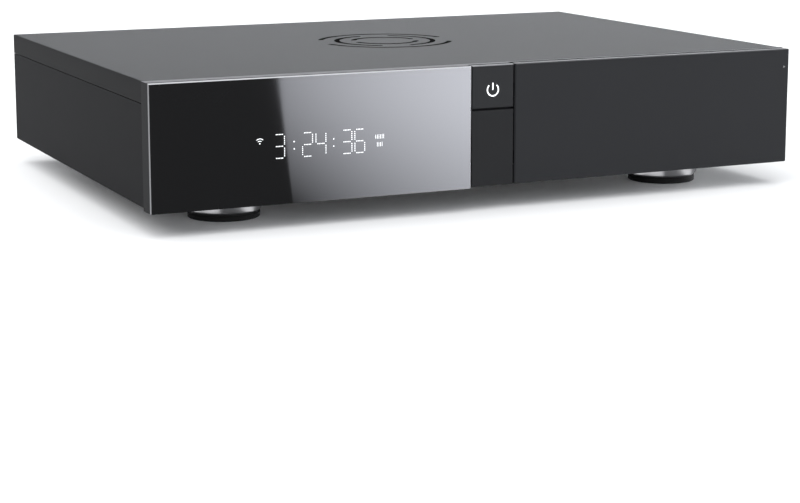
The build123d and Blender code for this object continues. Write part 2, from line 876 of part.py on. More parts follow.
with BuildPart() as drive_cage_top:
    with BuildSketch(Plane.XY.offset(cage_top_z)):
        with Locations((tray_middle_x, (frame_back_y + cage_rear_y) / 2)):
            Rectangle(cage_right_x - cage_left_x, cage_rear_y - frame_back_y)
            with GridLocations(
                cage_slot_pitch, cage_slot_length + cage_slot_row_gap, cage_slot_count, cage_slot_rows
            ):
                SlotOverall(cage_slot_length, cage_slot_width, rotation=90, mode=Mode.SUBTRACT)
    extrude(amount=cage_top_thickness)
keep(drive_cage_top, "drive_cage_top")

# Tray guides: four moulded strips on the cage's sides, under the edges of the trays
with BuildPart() as tray_guides:
    for face_z in (lower_face_z, upper_face_z):
        guide_top_z = face_z + tray_floor_lift - guide_play
        for inner, outer in (
            (cage_left_x + cage_thickness + guide_width, cage_left_x + cage_thickness),
            (cage_right_x - cage_thickness - guide_width, cage_right_x - cage_thickness),
        ):
            between(
                sorted((inner, outer)),
                (tray_front_y + tray_face_gap, tray_rear_y),
                (guide_top_z - guide_thickness, guide_top_z),
            )
keep(tray_guides, "tray_guides")


# Drive trays: a sled with two walls, a face plate screwed to its front and a handle on the face
def tray_sled(face_z):
    """The sled that holds one drive, open at its top and rear."""
    floor_z = face_z + tray_floor_lift
    with BuildPart() as sled:
        with BuildSketch(Plane.XY.offset(floor_z)):
            with Locations((tray_middle_x, (tray_front_y + tray_rear_y) / 2)):
                Rectangle(tray_width, tray_rear_y - tray_front_y)
                with GridLocations(drive_width / tray_vent_count, 0, tray_vent_count, 1):
                    SlotOverall(
                        drive_length - 2 * (tray_vent_margin + tray_vent_width),
                        tray_vent_width,
                        rotation=90,
                        mode=Mode.SUBTRACT,
                    )
            with Locations(
                *[
                    (tray_middle_x + side * drive_hole_width / 2, tray_rear_y - reach)
                    for side in (-1, 1)
                    for reach in drive_hole_lengths
                ]
            ):
                Circle(drive_hole_radius, mode=Mode.SUBTRACT)
        extrude(amount=tray_floor)
        for wall_left_x in (tray_left_x, tray_right_x - tray_wall):
            between(
                (wall_left_x, wall_left_x + tray_wall),
                (tray_front_y, tray_rear_y),
                (floor_z, floor_z + tray_floor + tray_wall_height),
            )
    return sled


def tray_face(face_z):
    """The face plate of one tray."""
    with BuildPart() as face:
        between((tray_left_x, tray_right_x), (tray_face_y, tray_front_y), (face_z, face_z + tray_face_height))
        chamfer(face.faces().sort_by(Axis.Y)[0].edges(), tray_face_ease)
        lengthwise(
            handle_screw_places(face_z),
            (tray_face_y - cut_overrun, tray_front_y + cut_overrun),
            handle_screw_radius,
            mode=Mode.SUBTRACT,
        )
    return face


def handle_screw_places(face_z):
    """Where the studs of a handle pass through its face plate."""
    z = face_z + tray_face_height / 2
    reach = (handle_width - handle_bar) / 2
    return [(tray_middle_x - reach, z), (tray_middle_x + reach, z)]


def tray_handle(face_z):
    """A fixed pull handle: a bar on two legs, with a stud from each leg into the face plate."""
    middle_z = face_z + tray_face_height / 2
    with BuildPart() as handle:
        between(
            (tray_middle_x - handle_width / 2, tray_middle_x + handle_width / 2),
            (tray_face_y - handle_depth, tray_face_y),
            (middle_z - handle_height / 2, middle_z + handle_height / 2),
        )
        fillet(handle.edges().filter_by(Axis.Z).group_by(Axis.Y)[0], handle_bar)
        between(
            (tray_middle_x - handle_width / 2 + handle_bar, tray_middle_x + handle_width / 2 - handle_bar),
            (tray_face_y - handle_depth + handle_bar, tray_face_y + cut_overrun),
            (middle_z - handle_height, middle_z + handle_height),
            mode=Mode.SUBTRACT,
        )
        lengthwise(handle_screw_places(face_z), (tray_face_y, tray_front_y), handle_screw_radius)
    return handle


for level, face_z in (("lower", lower_face_z), ("upper", upper_face_z)):
    keep(tray_sled(face_z), f"{level}_tray")
    keep(tray_face(face_z), f"{level}_tray_face")
    keep(tray_handle(face_z), f"{level}_tray_handle")

# Drive backplane: a board across the cage's rear, with one socket behind each tray
with BuildPart() as sata_backplane:
    between(
        (cage_left_x, cage_right_x),
        (cage_rear_y, cage_rear_y + backplane_thickness),
        (base_top_z, cage_top_z),
    )
keep(sata_backplane, "sata_backplane")

with BuildPart() as sata_sockets:
    for face_z in (lower_face_z, upper_face_z):
        socket_z = face_z + tray_floor_lift + tray_floor + sata_lift
        between(
            (tray_middle_x - sata_width / 2, tray_middle_x + sata_width / 2),
            (cage_rear_y - sata_depth, cage_rear_y),
            (socket_z - sata_height / 2, socket_z + sata_height / 2),
        )
    chamfer(sata_sockets.edges().filter_by(Axis.Z).group_by(Axis.Y)[0], edge_ease)
keep(sata_sockets, "sata_sockets")


# Circuit boards on standoffs
def circuit_board(x, y, places):
    """A flat board between two x and two y planes, drilled at its standoffs."""
    with BuildPart() as board:
        between(x, y, (board_under_z, board_top_z))
        drilled_z = (board_under_z - cut_overrun, board_top_z + cut_overrun)
        upright(places, drilled_z, screw_radius, mode=Mode.SUBTRACT)
    return board


keep(
    circuit_board((board_left_x, board_right_x), (board_front_y, board_rear_y), standoff_places[:4]),
    "main_board",
)
keep(
    circuit_board((power_left_x, power_right_x), (power_front_y, power_rear_y), standoff_places[4:]),
    "power_board",
)

with BuildPart() as standoffs:
    upright(standoff_places, (base_top_z, board_under_z), standoff_radius)
    bored_z = (base_top_z - cut_overrun, board_under_z + cut_overrun)
    upright(standoff_places, bored_z, standoff_bore, mode=Mode.SUBTRACT)
keep(standoffs, "standoffs")

with BuildPart() as board_screws:
    for x, y in standoff_places:
        pan_screw(
            Plane.XY.offset(board_top_z).move(Location((x, y, 0))),
            screw_radius,
            screw_head_radius,
            screw_head_height,
            board_thickness + standoff_thread,
        )
keep(board_screws, "board_screws")

# Processor and memory chips on the main board, under and beside the heat sink
sink_x = board_left_x + board_width / 2
sink_y = board_front_y + sink_from_front
sink_under_z = board_top_z + chip_thickness
with BuildPart() as board_chips:
    between(
        (sink_x - chip_size / 2, sink_x + chip_size / 2),
        (sink_y - chip_size / 2, sink_y + chip_size / 2),
        (board_top_z, sink_under_z),
    )
    with Locations((sink_x + sink_size / 2 + memory_from_sink, sink_y, board_top_z + memory_thickness / 2)):
        with GridLocations(0, memory_pitch, 1, 4):
            Box(memory_length, memory_width, memory_thickness)
keep(board_chips, "board_chips")

# Heat sink: a base with upright fins
with BuildPart() as heat_sink:
    with Locations((sink_x, sink_y, sink_under_z + sink_base / 2)):
        Box(sink_size, sink_size, sink_base)
    with Locations((sink_x, sink_y, sink_under_z + sink_base + sink_fin_height / 2)):
        with GridLocations((sink_size - sink_fin) / (sink_fin_count - 1), 0, sink_fin_count, 1):
            Box(sink_fin, sink_size, sink_fin_height)
keep(heat_sink, "heat_sink")


# Sockets: shells that stand on the main board and reach through the rear panel
def port(x, z, width, height, depth):
    """Cuts a rectangular mouth into a socket from its face."""
    between(
        (x - width / 2, x + width / 2),
        (socket_face_y - depth, socket_face_y + cut_overrun),
        (z - height / 2, z + height / 2),
        mode=Mode.SUBTRACT,
    )


def shell(x, width, height, depth):
    """Adds a socket's outer block, standing on the main board with its face at the rear."""
    between(
        (x - width / 2, x + width / 2),
        (socket_face_y - depth, socket_face_y),
        (board_top_z, board_top_z + height),
    )


with BuildPart() as hdmi_sockets:
    for x in hdmi_places:
        shell(x, hdmi_width, hdmi_height, hdmi_depth)
        port(
            x,
            board_top_z + hdmi_height / 2,
            hdmi_width - 2 * hdmi_wall,
            hdmi_height - 2 * hdmi_wall,
            hdmi_depth - hdmi_floor,
        )
keep(hdmi_sockets, "hdmi_sockets")

with BuildPart() as lan_socket:
    shell(lan_x, lan_width, lan_height, lan_depth)
    port(
        lan_x,
        board_top_z + lan_port_lift + lan_port_height / 2,
        lan_port_width,
        lan_port_height,
        lan_depth - lan_floor,
    )
keep(lan_socket, "lan_socket")

with BuildPart() as usb_sockets:
    shell(usb_x, usb_width, usb_height, usb_depth)
    for share in usb_port_shares:
        port(
            usb_x,
            board_top_z + usb_height * share,
            usb_width - 2 * usb_wall,
            usb_port_height,
            usb_depth - usb_floor,
        )
keep(usb_sockets, "usb_sockets")

with BuildPart() as optical_socket:
    shell(optical_x, optical_size, optical_size, optical_depth)
    port(
        optical_x,
        board_top_z + optical_size / 2,
        optical_port,
        optical_port,
        optical_depth - optical_floor,
    )
keep(optical_socket, "optical_socket")

with BuildPart() as audio_jacks:
    for x in jack_places:
        between(
            (x - jack_size / 2, x + jack_size / 2),
            (rear_inner_y - jack_depth, rear_inner_y),
            (board_top_z, board_top_z + jack_size),
        )
    jack_spots = [(x, jack_z) for x in jack_places]
    lengthwise(jack_spots, (rear_inner_y, rear_face_y + jack_ring_proud), jack_ring_radius)
    lengthwise(jack_spots, (rear_inner_y - jack_bore_depth, rear_y), jack_bore, mode=Mode.SUBTRACT)
keep(audio_jacks, "audio_jacks")

# Mains inlet: a shell with a flange on the rear panel, and three blades inside it
with BuildPart() as mains_inlet:
    inlet_end_y = rear_face_y + inlet_flange_thickness
    inlet_floor_y = rear_face_y - inlet_depth + inlet_floor
    between(
        (inlet_x - inlet_width / 2, inlet_x + inlet_width / 2),
        (rear_face_y - inlet_depth, inlet_end_y),
        (inlet_z - inlet_height / 2, inlet_z + inlet_height / 2),
    )
    with BuildSketch(facing_front(rear_face_y)):
        with Locations((inlet_x, inlet_z)):
            Rectangle(inlet_width + 2 * inlet_flange, inlet_height + 2 * inlet_flange)
    extrude(amount=-inlet_flange_thickness)
    between(
        (inlet_x - inlet_width / 2 + inlet_wall, inlet_x + inlet_width / 2 - inlet_wall),
        (inlet_floor_y, rear_y + cut_overrun),
        (inlet_z - inlet_height / 2 + inlet_wall, inlet_z + inlet_height / 2 - inlet_wall),
        mode=Mode.SUBTRACT,
    )
keep(mains_inlet, "mains_inlet")

with BuildPart() as mains_blades:
    for step, rise in ((-1, -blade_drop), (0, blade_drop), (1, -blade_drop)):
        blade_x = inlet_x + step * blade_spacing
        blade_z = inlet_z + rise
        between(
            (blade_x - blade_width / 2, blade_x + blade_width / 2),
            (inlet_floor_y, inlet_floor_y + blade_length),
            (blade_z - blade_height / 2, blade_z + blade_height / 2),
        )
    chamfer(mains_blades.edges().filter_by(Axis.Z).group_by(Axis.Y)[-1], edge_ease)
keep(mains_blades, "mains_blades")

# Transformer: a ferrite core round a wound bobbin
with BuildPart() as transformer:
    core_x = power_left_x + core_from_left
    core_y = power_front_y + core_from_front
    between(
        (core_x - core_width / 2, core_x + core_width / 2),
        (core_y - core_depth / 2, core_y + core_depth / 2),
        (board_top_z, board_top_z + core_height),
    )
    between(
        (core_x - bobbin_width / 2, core_x + bobbin_width / 2),
        (core_y - bobbin_depth / 2, core_y + bobbin_depth / 2),
        (board_top_z, board_top_z + bobbin_height),
    )
keep(transformer, "transformer")

# Capacitors: upright cans on the power board
with BuildPart() as capacitors:
    for radius, height, from_left, from_front in zip(can_radii, can_heights, can_from_left, can_from_front):
        can_place = (power_left_x + from_left, power_front_y + from_front)
        upright([can_place], (board_top_z, board_top_z + height), radius)
    can_circles = capacitors.edges().filter_by(GeomType.CIRCLE)
    fillet(can_circles.filter_by(lambda edge: edge.center().Z > board_top_z), can_rim)
keep(capacitors, "capacitors")

# Fan frame: a square duct with the motor's base on struts at its rear
fan_base_y = rear_inner_y - fan_base_thickness
with BuildPart() as fan_frame:
    with BuildSketch(facing_front(fan_front_y)):
        with Locations((fan_x, fan_z)):
            RectangleRounded(fan_size, fan_size, fan_corner)
            Circle(fan_bore, mode=Mode.SUBTRACT)
            with GridLocations(fan_hole_pitch, fan_hole_pitch, 2, 2):
                Circle(fan_hole_radius, mode=Mode.SUBTRACT)
    extrude(amount=-fan_depth)
    with BuildSketch(facing_front(fan_base_y)):
        with Locations((fan_x, fan_z)):
            Circle(fan_motor_radius)
            with PolarLocations(0, fan_strut_count, start_angle=45):
                with Locations(((fan_bore + fan_strut_root) / 2, 0)):
                    Rectangle(fan_bore + fan_strut_root, fan_strut_width)
            Circle(rotor_shaft_radius + rotor_shaft_play, mode=Mode.SUBTRACT)
    extrude(amount=-fan_base_thickness)
keep(fan_frame, "fan_frame")

# Fan rotor: a hub with swept blades, on a shaft that turns in the motor's base
rotor_y = (fan_front_y + rotor_end_gap, fan_base_y - rotor_end_gap)
blade_end = Vector(cos(radians(rotor_blade_pitch)), sin(radians(rotor_blade_pitch))) * (rotor_blade_chord / 2)
camber_line = SagittaArc(-blade_end, blade_end, rotor_blade_camber)
with BuildPart() as fan_rotor:
    lengthwise([(fan_x, fan_z)], rotor_y, rotor_hub_radius)
    fillet(fan_rotor.edges().filter_by(GeomType.CIRCLE).sort_by(Axis.Y)[0], rotor_hub_round)
    rotor_middle_y = (rotor_y[0] + rotor_y[1]) / 2
    for turn in range(rotor_blade_count):
        angle = radians(360 * turn / rotor_blade_count)
        outwards = Vector(cos(angle), 0, sin(angle))
        root = Vector(fan_x, rotor_middle_y, fan_z) + outwards * (rotor_hub_radius - rotor_blade_root)
        with BuildSketch(Plane(origin=root, x_dir=(0, 1, 0), z_dir=outwards)):
            SlotArc(camber_line, rotor_blade_thickness)
        extrude(amount=rotor_radius - rotor_hub_radius + 2 * rotor_blade_root)
    lengthwise([(fan_x, fan_z)], (rotor_y[0], rotor_y[1]), rotor_radius, mode=Mode.INTERSECT)
    lengthwise([(fan_x, fan_z)], (rotor_y[1], rear_inner_y), rotor_shaft_radius)
keep(fan_rotor, "fan_rotor")

with BuildPart() as fan_screws:
    reach = fan_hole_pitch / 2
    for x in (fan_x - reach, fan_x + reach):
        for z in (fan_z - reach, fan_z + reach):
            pan_screw(
                facing_back(x, rear_face_y, z),
                fan_hole_radius,
                screw_head_radius,
                screw_head_height,
                rear_thickness + screw_length,
            )
keep(fan_screws, "fan_screws")

# Feet: a turned metal cup over a rubber pad, held by one screw through the base
cup_under_z = pad_height
for corner, (x, y) in foot_places.items():
    middle = Plane(origin=(x, y, 0), x_dir=(1, 0, 0), z_dir=(0, -1, 0))
    with BuildPart() as foot_cup:
        with BuildSketch(middle):
            with BuildLine():
                Polyline(
                    (foot_screw_radius, base_under_z),
                    (cup_top_radius, base_under_z),
                    (cup_top_radius, base_under_z - cup_edge),
                    (cup_base_radius, cup_under_z + cup_edge),
                    (cup_base_radius - cup_edge, cup_under_z),
                    (pad_hole_radius, cup_under_z),
                    (pad_hole_radius, base_under_z - cup_floor),
                    (foot_screw_radius, base_under_z - cup_floor),
                    close=True,
                )
            make_face()
        revolve(axis=Axis((x, y, 0), (0, 0, 1)))
    keep(foot_cup, f"foot_cup_{corner}")

    with BuildPart() as foot_pad:
        with BuildSketch(middle):
            with BuildLine():
                Polyline(
                    (pad_hole_radius, 0),
                    (pad_radius - edge_ease, 0),
                    (pad_radius, edge_ease),
                    (pad_radius, pad_groove_height),
                    (pad_radius - pad_groove, pad_groove_height),
                    (pad_radius - pad_groove, pad_groove_height + pad_groove),
                    (pad_radius, pad_groove_height + pad_groove),
                    (pad_radius, pad_height),
                    (pad_hole_radius, pad_height),
                    close=True,
                )
            make_face()
        revolve(axis=Axis((x, y, 0), (0, 0, 1)))
    keep(foot_pad, f"foot_pad_{corner}")

with BuildPart() as foot_screws:
    for x, y in foot_places.values():
        seat = Plane(origin=(x, y, base_under_z - cup_floor), x_dir=(1, 0, 0), z_dir=(0, 0, -1))
        pan_screw(
            seat,
            foot_screw_radius,
            foot_screw_head_radius,
            foot_screw_head_height,
            cup_floor + base_thickness,
        )
keep(foot_screws, "foot_screws")
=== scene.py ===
from math import cos, pi, radians, sin

import bmesh
import bpy
from mathutils import Matrix, Vector


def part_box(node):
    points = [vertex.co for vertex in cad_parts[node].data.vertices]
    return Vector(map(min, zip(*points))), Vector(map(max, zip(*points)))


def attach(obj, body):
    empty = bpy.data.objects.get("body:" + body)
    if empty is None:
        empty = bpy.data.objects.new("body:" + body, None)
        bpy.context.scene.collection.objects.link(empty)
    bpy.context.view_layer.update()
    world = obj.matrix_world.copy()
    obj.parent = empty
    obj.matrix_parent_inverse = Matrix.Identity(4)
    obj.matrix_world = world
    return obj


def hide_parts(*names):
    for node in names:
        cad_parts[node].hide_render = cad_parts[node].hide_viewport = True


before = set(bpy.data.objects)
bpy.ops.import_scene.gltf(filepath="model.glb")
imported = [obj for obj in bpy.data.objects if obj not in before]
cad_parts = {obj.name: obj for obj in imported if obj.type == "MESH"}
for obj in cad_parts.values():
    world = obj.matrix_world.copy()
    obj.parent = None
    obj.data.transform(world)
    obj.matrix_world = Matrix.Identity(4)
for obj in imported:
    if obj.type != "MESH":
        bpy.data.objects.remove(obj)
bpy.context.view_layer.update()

# Base plate and rear panel: the bottom and the back of the case. Flat steel sheet with a
# fine-textured black powder coat; screws hold the rear panel to the side panels.
MM = 0.001
base_dark = (0.016, 0.016, 0.017)
base_light = (0.026, 0.026, 0.027)
base_grit = 0.45 * MM
base_sheen = 0.3


class Signal:
    """A socket in a finish. Arithmetic on it adds Math nodes."""

    def __init__(self, tree, socket):
        self.tree = tree
        self.socket = socket

    def node(self, kind, settings, sockets, output=0):
        """Adds a node, sets it up, and then fills or links its sockets."""
        made = self.tree.nodes.new(kind)
        for name, value in settings.items():
            setattr(made, name, value)
        for name, value in sockets.items():
            if isinstance(value, Signal):
                self.tree.links.new(value.socket, made.inputs[name])
            else:
                made.inputs[name].default_value = value
        return Signal(self.tree, made.outputs[output])

    def math(self, operation, first, second):
        return self.node("ShaderNodeMath", {"operation": operation}, {0: first, 1: second})

    def __add__(self, other):
        return self.math("ADD", self, other)

    def __radd__(self, other):
        return self.math("ADD", other, self)

    def __sub__(self, other):
        return self.math("SUBTRACT", self, other)

    def __rsub__(self, other):
        return self.math("SUBTRACT", other, self)

    def __mul__(self, other):
        return self.math("MULTIPLY", self, other)

    def __rmul__(self, other):
        return self.math("MULTIPLY", other, self)

    def __truediv__(self, other):
        return self.math("DIVIDE", self, other)

    def __rtruediv__(self, other):
        return self.math("DIVIDE", other, self)

    def __gt__(self, other):
        return self.math("GREATER_THAN", self, other)

    def __lt__(self, other):
        return self.math("LESS_THAN", self, other)


def finish(name, constants, varying):
    """A material: constants go on the shader's sockets, and varying works out the rest from a place."""
    material = bpy.data.materials.new(name)
    material.use_nodes = True
    tree = material.node_tree
    shader = tree.nodes["Principled BSDF"]
    for key, value in constants.items():
        shader.inputs[key].default_value = value
    place = Signal(tree, tree.nodes.new("ShaderNodeTexCoord").outputs["Object"])
    for key, signal in varying(place).items():
        tree.links.new(signal.socket, shader.inputs[key])
    return material


def grain(place, size, stretch=(1, 1, 1)):
    """Noise from 0 to 1 in blotches of about that size, drawn out along an axis by stretch."""
    scale = [1 / (size * s) for s in stretch]
    spread = place.node("ShaderNodeMapping", {}, {"Vector": place, "Scale": scale})
    return place.node("ShaderNodeTexNoise", {}, {"Vector": spread, "Scale": 1.0, "Detail": 2.0})


def ramp(value, low, high):
    """0 below low, 1 above high, with a soft step between them."""
    sockets = {"Value": value, "From Min": low, "From Max": high}
    return value.node("ShaderNodeMapRange", {"interpolation_type": "SMOOTHSTEP"}, sockets)


def tint(mask, low, high):
    """A colour that goes from low to high with a mask."""
    ends = [c if isinstance(c, Signal) else (*c, 1.0) for c in (low, high)]
    return mask.node("ShaderNodeMix", {"data_type": "RGBA"}, {0: mask, 6: ends[0], 7: ends[1]}, 2)


def part_way(mask, low, high):
    """A number that goes from low to high with a mask."""
    return low + (high - low) * mask


def relief(height, depth):
    """A surface raised by depth where the height is 1."""
    return height.node("ShaderNodeBump", {}, {"Height": height, "Distance": depth})


def dress(material, *names):
    """Gives CAD nodes a finish."""
    for name in names:
        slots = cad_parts[name].data.materials
        slots.clear()
        slots.append(material)


def grit_coat(dark, light, size):
    """A sand-textured coat: mottled colour, uneven gloss and a fine relief."""
    cloud_size, sand_depth = 60 * size, 0.12 * size
    sand_step, sand_share = (0.3, 0.7), 0.6

    def varying(place):
        sand = grain(place, size)
        cloud = grain(place, cloud_size)
        mottle = ramp(sand, *sand_step) * sand_share + cloud * (1 - sand_share)
        return {
            "Base Color": tint(mottle, dark, light),
            "Roughness": part_way(sand, 0.46, 0.62),
            "Normal": relief(sand, sand_depth),
        }

    return varying


base_coat = finish(
    "base_coat", {"Specular IOR Level": base_sheen}, grit_coat(base_dark, base_light, base_grit)
)
dress(base_coat, "base_plate", "rear_panel")

# Feet: turned aluminium cups with a brushed rim over rubber pads. One screw holds each
# cup and pad to the base plate.
corners = ("front_left", "front_right", "rear_left", "rear_right")


def grained(dark, light, size, rough, depth=None, stretch=(1, 1, 1), step=None):
    """A plain finish: one grain gives its colour, its gloss and, with a depth, its relief."""

    def varying(place):
        texture = grain(place, size, stretch)
        looks = {
            "Base Color": tint(ramp(texture, *step) if step else texture, dark, light),
            "Roughness": part_way(texture, *rough),
        }
        if depth:
            looks["Normal"] = relief(texture, depth)
        return looks

    return varying


turned_metal = grained(
    dark=(0.28, 0.28, 0.29), light=(0.38, 0.38, 0.39),
    size=0.3 * MM, stretch=(80, 80, 1), rough=(0.34, 0.44), depth=0.004 * MM,
)
foot_metal = finish("foot_metal", {"Metallic": 1.0}, turned_metal)
dress(foot_metal, *[f"foot_cup_{c}" for c in corners])

moulded_rubber = grained(
    dark=(0.005, 0.005, 0.005), light=(0.009, 0.009, 0.009),
    size=0.6 * MM, rough=(0.6, 0.8), depth=0.05 * MM,
)
foot_rubber = finish("foot_rubber", {"Specular IOR Level": 0.25}, moulded_rubber)
dress(foot_rubber, *[f"foot_pad_{c}" for c in corners])

# Side panels and lid: the sides are flat plates and the lid is a plate with two skirts.
# Painted aluminium with a fine sand texture; the lid's broken rings are pressed in. The
# lid's skirts are coloured darker than its top: painted shade.
coat_dark = (0.0097, 0.0097, 0.0105)
coat_light = (0.0152, 0.0152, 0.0163)
coat_sheen = 0.02
lid_sheen = 0.037
coat_grit = 0.4 * MM
side_paint = grit_coat(coat_dark, coat_light, coat_grit)
case_coat = finish("case_coat", {"Specular IOR Level": coat_sheen}, side_paint)
dress(case_coat, "side_panel_left", "side_panel_right")

lid_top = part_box("top_cover")[1].z
# Painted shade: the floors of the lid's rings are coloured near-black and matt, without sheen.
groove_shade_dark = (0.005, 0.005, 0.005)
groove_shade_light = (0.008, 0.008, 0.008)
groove_reach = 60 * MM
groove_start, groove_end = 0.02 * MM, 0.6 * MM
# Painted shade: the skirts of the lid are coloured darker than its top.
skirt_painted_shade_share = 0.62
level_slope = 0.6


def along(place, axis):
    """One coordinate of a place, 0 for X, 1 for Y and 2 for Z."""
    return place.node("ShaderNodeSeparateXYZ", {}, {"Vector": place}, axis)


def looking_up(place):
    """1 on faces that look up, and 0 on the rest."""
    slope = place.node("ShaderNodeNewGeometry", {}, {}, "True Normal")
    return along(slope, 2) > level_slope


# The sand coat, with the skirts darkened as painted shade.
def lid_paint_shaded_skirts(place):
    looks = side_paint(place)
    share = part_way(looking_up(place), skirt_painted_shade_share, 1)
    looks["Base Color"] = tint(share, (0, 0, 0), looks["Base Color"])
    return looks


lid_coat = finish("lid_coat", {"Specular IOR Level": lid_sheen}, lid_paint_shaded_skirts)
lid_nodes = lid_coat.node_tree.nodes
lid_place = Signal(lid_coat.node_tree, lid_nodes.new("ShaderNodeTexCoord").outputs["Object"])
lid_x, lid_y, lid_z = [along(lid_place, axis) for axis in range(3)]
near_centre = lid_x * lid_x + lid_y * lid_y < groove_reach**2
sunk = (lid_z < lid_top - groove_start) * (lid_z > lid_top - groove_end)
# Painted shade in the rings: a dark matt shader mixed in on the groove floors.
painted_groove_shade = lid_place.node(
    "ShaderNodeBsdfPrincipled",
    {},
    {
        "Base Color": tint(grain(lid_place, coat_grit), groove_shade_dark, groove_shade_light),
        "Roughness": 0.9,
        "Specular IOR Level": 0.0,
    },
)
coated = Signal(lid_coat.node_tree, lid_nodes["Principled BSDF"].outputs[0])
coat_and_painted_shade = lid_place.node("ShaderNodeMixShader", {}, {0: sunk * near_centre, 1: coated, 2: painted_groove_shade})
lid_coat.node_tree.links.new(coat_and_painted_shade.socket, lid_nodes["Material Output"].inputs["Surface"])
dress(lid_coat, "top_cover")

# Screws: black oxide ones where they show on the outside, zinc-plated ones inside and
# under the feet.


def screw_finish(dark, light):
    return grained(dark, light, size=0.8 * MM, rough=(0.3, 0.55), depth=0.01 * MM, step=(0.35, 0.7))


black_oxide = screw_finish((0.03, 0.03, 0.03), (0.09, 0.09, 0.09))
zinc_plating = screw_finish((0.45, 0.45, 0.44), (0.66, 0.66, 0.65))
screw_black = finish("screw_black", {"Metallic": 1.0}, black_oxide)
screw_steel = finish("screw_steel", {"Metallic": 1.0}, zinc_plating)
dress(screw_black, "rear_panel_screws", "cover_screws", "fan_screws")
dress(screw_steel, "foot_screws", "board_screws")

# Drive cage: two side plates that stand on the base and a top plate, of zinc-plated sheet,
# with moulded guides for the trays. The door's strikes are of the same sheet, and the fan
# and the black housings are of the same plastic as the guides.
zinc_dark = (0.36, 0.37, 0.38)
zinc_light = (0.56, 0.57, 0.58)
spangles_per_metre = 240.0
rolling_pitch = 0.3 * MM


def zinc_sheet(place):
    cells = {"Vector": place, "Scale": spangles_per_metre}
    spangle = along(place.node("ShaderNodeTexVoronoi", {}, cells, "Color"), 0)
    rolled = grain(place, rolling_pitch, (1, 40, 1))
    return {
        "Base Color": tint(spangle, zinc_dark, zinc_light),
        "Roughness": 0.28 + 0.12 * spangle + 0.1 * rolled,
        "Normal": relief(rolled, 0.01 * MM),
    }


sheet_steel = finish("sheet_steel", {"Metallic": 1.0}, zinc_sheet)
dress(sheet_steel, "drive_cage_left", "drive_cage_right", "drive_cage_top", "strike_plates")


def moulded_plastic(dark, light, size):
    return grained(dark, light, size, rough=(0.42, 0.62), depth=0.1 * size)


guide_plastic = moulded_plastic((0.010, 0.010, 0.011), (0.022, 0.022, 0.023), 0.5 * MM)
black_plastic = finish("black_plastic", {"Specular IOR Level": 0.4}, guide_plastic)
dress(black_plastic, "tray_guides", "sata_sockets", "optical_socket", "audio_jacks", "mains_inlet")
dress(black_plastic, "fan_frame", "fan_rotor", "tact_switch")

# Circuit boards: glass-fibre boards with green solder mask over copper tracks, screwed
# to brass standoffs or soldered to their sockets. They carry black chips, a finned sink of
# anodised aluminium, a taped ferrite transformer and sleeved capacitors.
mask_green = (0.010, 0.060, 0.024)
track_green = (0.022, 0.115, 0.046)
pad_gold = (0.55, 0.42, 0.16)
tracks_per_metre = 130.0
vias_per_metre = 190.0
via_radius_share = 0.12


def solder_mask(place):
    tracks = place.node(
        "ShaderNodeTexBrick",
        {"offset": 0.37, "squash": 1.6},
        {"Vector": place, "Scale": tracks_per_metre, "Mortar Size": 0.06, "Mortar Smooth": 0.1},
        "Fac",
    )
    holes = {"Vector": place, "Scale": vias_per_metre}
    via = place.node("ShaderNodeTexVoronoi", {}, holes, "Distance") < via_radius_share
    return {
        "Base Color": tint(via, tint(tracks, mask_green, track_green), pad_gold),
        "Roughness": part_way(tracks, 0.34, 0.44),
        "Normal": relief(tracks + via, 0.03 * MM),
    }


circuit_board = finish("circuit_board", {"Coat Weight": 0.3}, solder_mask)
dress(circuit_board, "main_board", "power_board", "sata_backplane", "display_board", "switch_board")

plated_brass = grained(
    dark=(0.55, 0.42, 0.20), light=(0.78, 0.63, 0.33),
    size=1.5 * MM, rough=(0.22, 0.42), depth=0.01 * MM,
)
blade_brass = finish("blade_brass", {"Metallic": 1.0}, plated_brass)
dress(blade_brass, "standoffs", "mains_blades")

chip_epoxy = moulded_plastic((0.012, 0.012, 0.012), (0.026, 0.026, 0.026), 0.3 * MM)
chip_black = finish("chip_black", {}, chip_epoxy)
dress(chip_black, "board_chips")

black_anodising = grained(
    dark=(0.03, 0.03, 0.032), light=(0.06, 0.06, 0.064),
    size=0.25 * MM, stretch=(1, 60, 1), rough=(0.36, 0.52), depth=0.01 * MM,
)
sink_aluminium = finish("sink_aluminium", {"Metallic": 0.8}, black_anodising)
dress(sink_aluminium, "heat_sink")

ferrite_grey = (0.035, 0.032, 0.03)
tape_yellow = (0.14, 0.11, 0.05)
tape_pitch = 1.4 * MM


def ferrite_and_tape(place):
    turns = along(place, 2) / tape_pitch
    wound = turns.math("PINGPONG", turns, 1.0)
    pitted = grain(place, 0.7 * MM)
    return {
        "Base Color": tint((wound + pitted) / 2, ferrite_grey, tape_yellow),
        "Roughness": part_way(pitted, 0.5, 0.8),
        "Normal": relief(pitted, 0.04 * MM),
    }


core_ferrite = finish("core_ferrite", {}, ferrite_and_tape)
dress(core_ferrite, "transformer")

shrink_sleeve = grained(
    dark=(0.010, 0.014, 0.06), light=(0.02, 0.028, 0.10),
    size=4 * MM, stretch=(1, 1, 4), rough=(0.22, 0.42), depth=0.08 * MM,
)
can_sleeve = finish("can_sleeve", {}, shrink_sleeve)
dress(can_sleeve, "capacitors")

# Rear sockets: plated steel shells and black housings on the main board, reaching through
# the rear panel. The steel ones hold moulded tongues and gilt contacts, the network socket
# has two lamps, and a sprung flap closes the optical one.
plated_steel = grained(
    dark=(0.27, 0.27, 0.28), light=(0.38, 0.38, 0.39),
    size=0.2 * MM, stretch=(30, 1, 1), rough=(0.28, 0.44), depth=0.006 * MM,
)
socket_steel = finish("socket_steel", {"Metallic": 1.0}, plated_steel)
dress(socket_steel, "hdmi_sockets", "lan_socket", "usb_sockets")


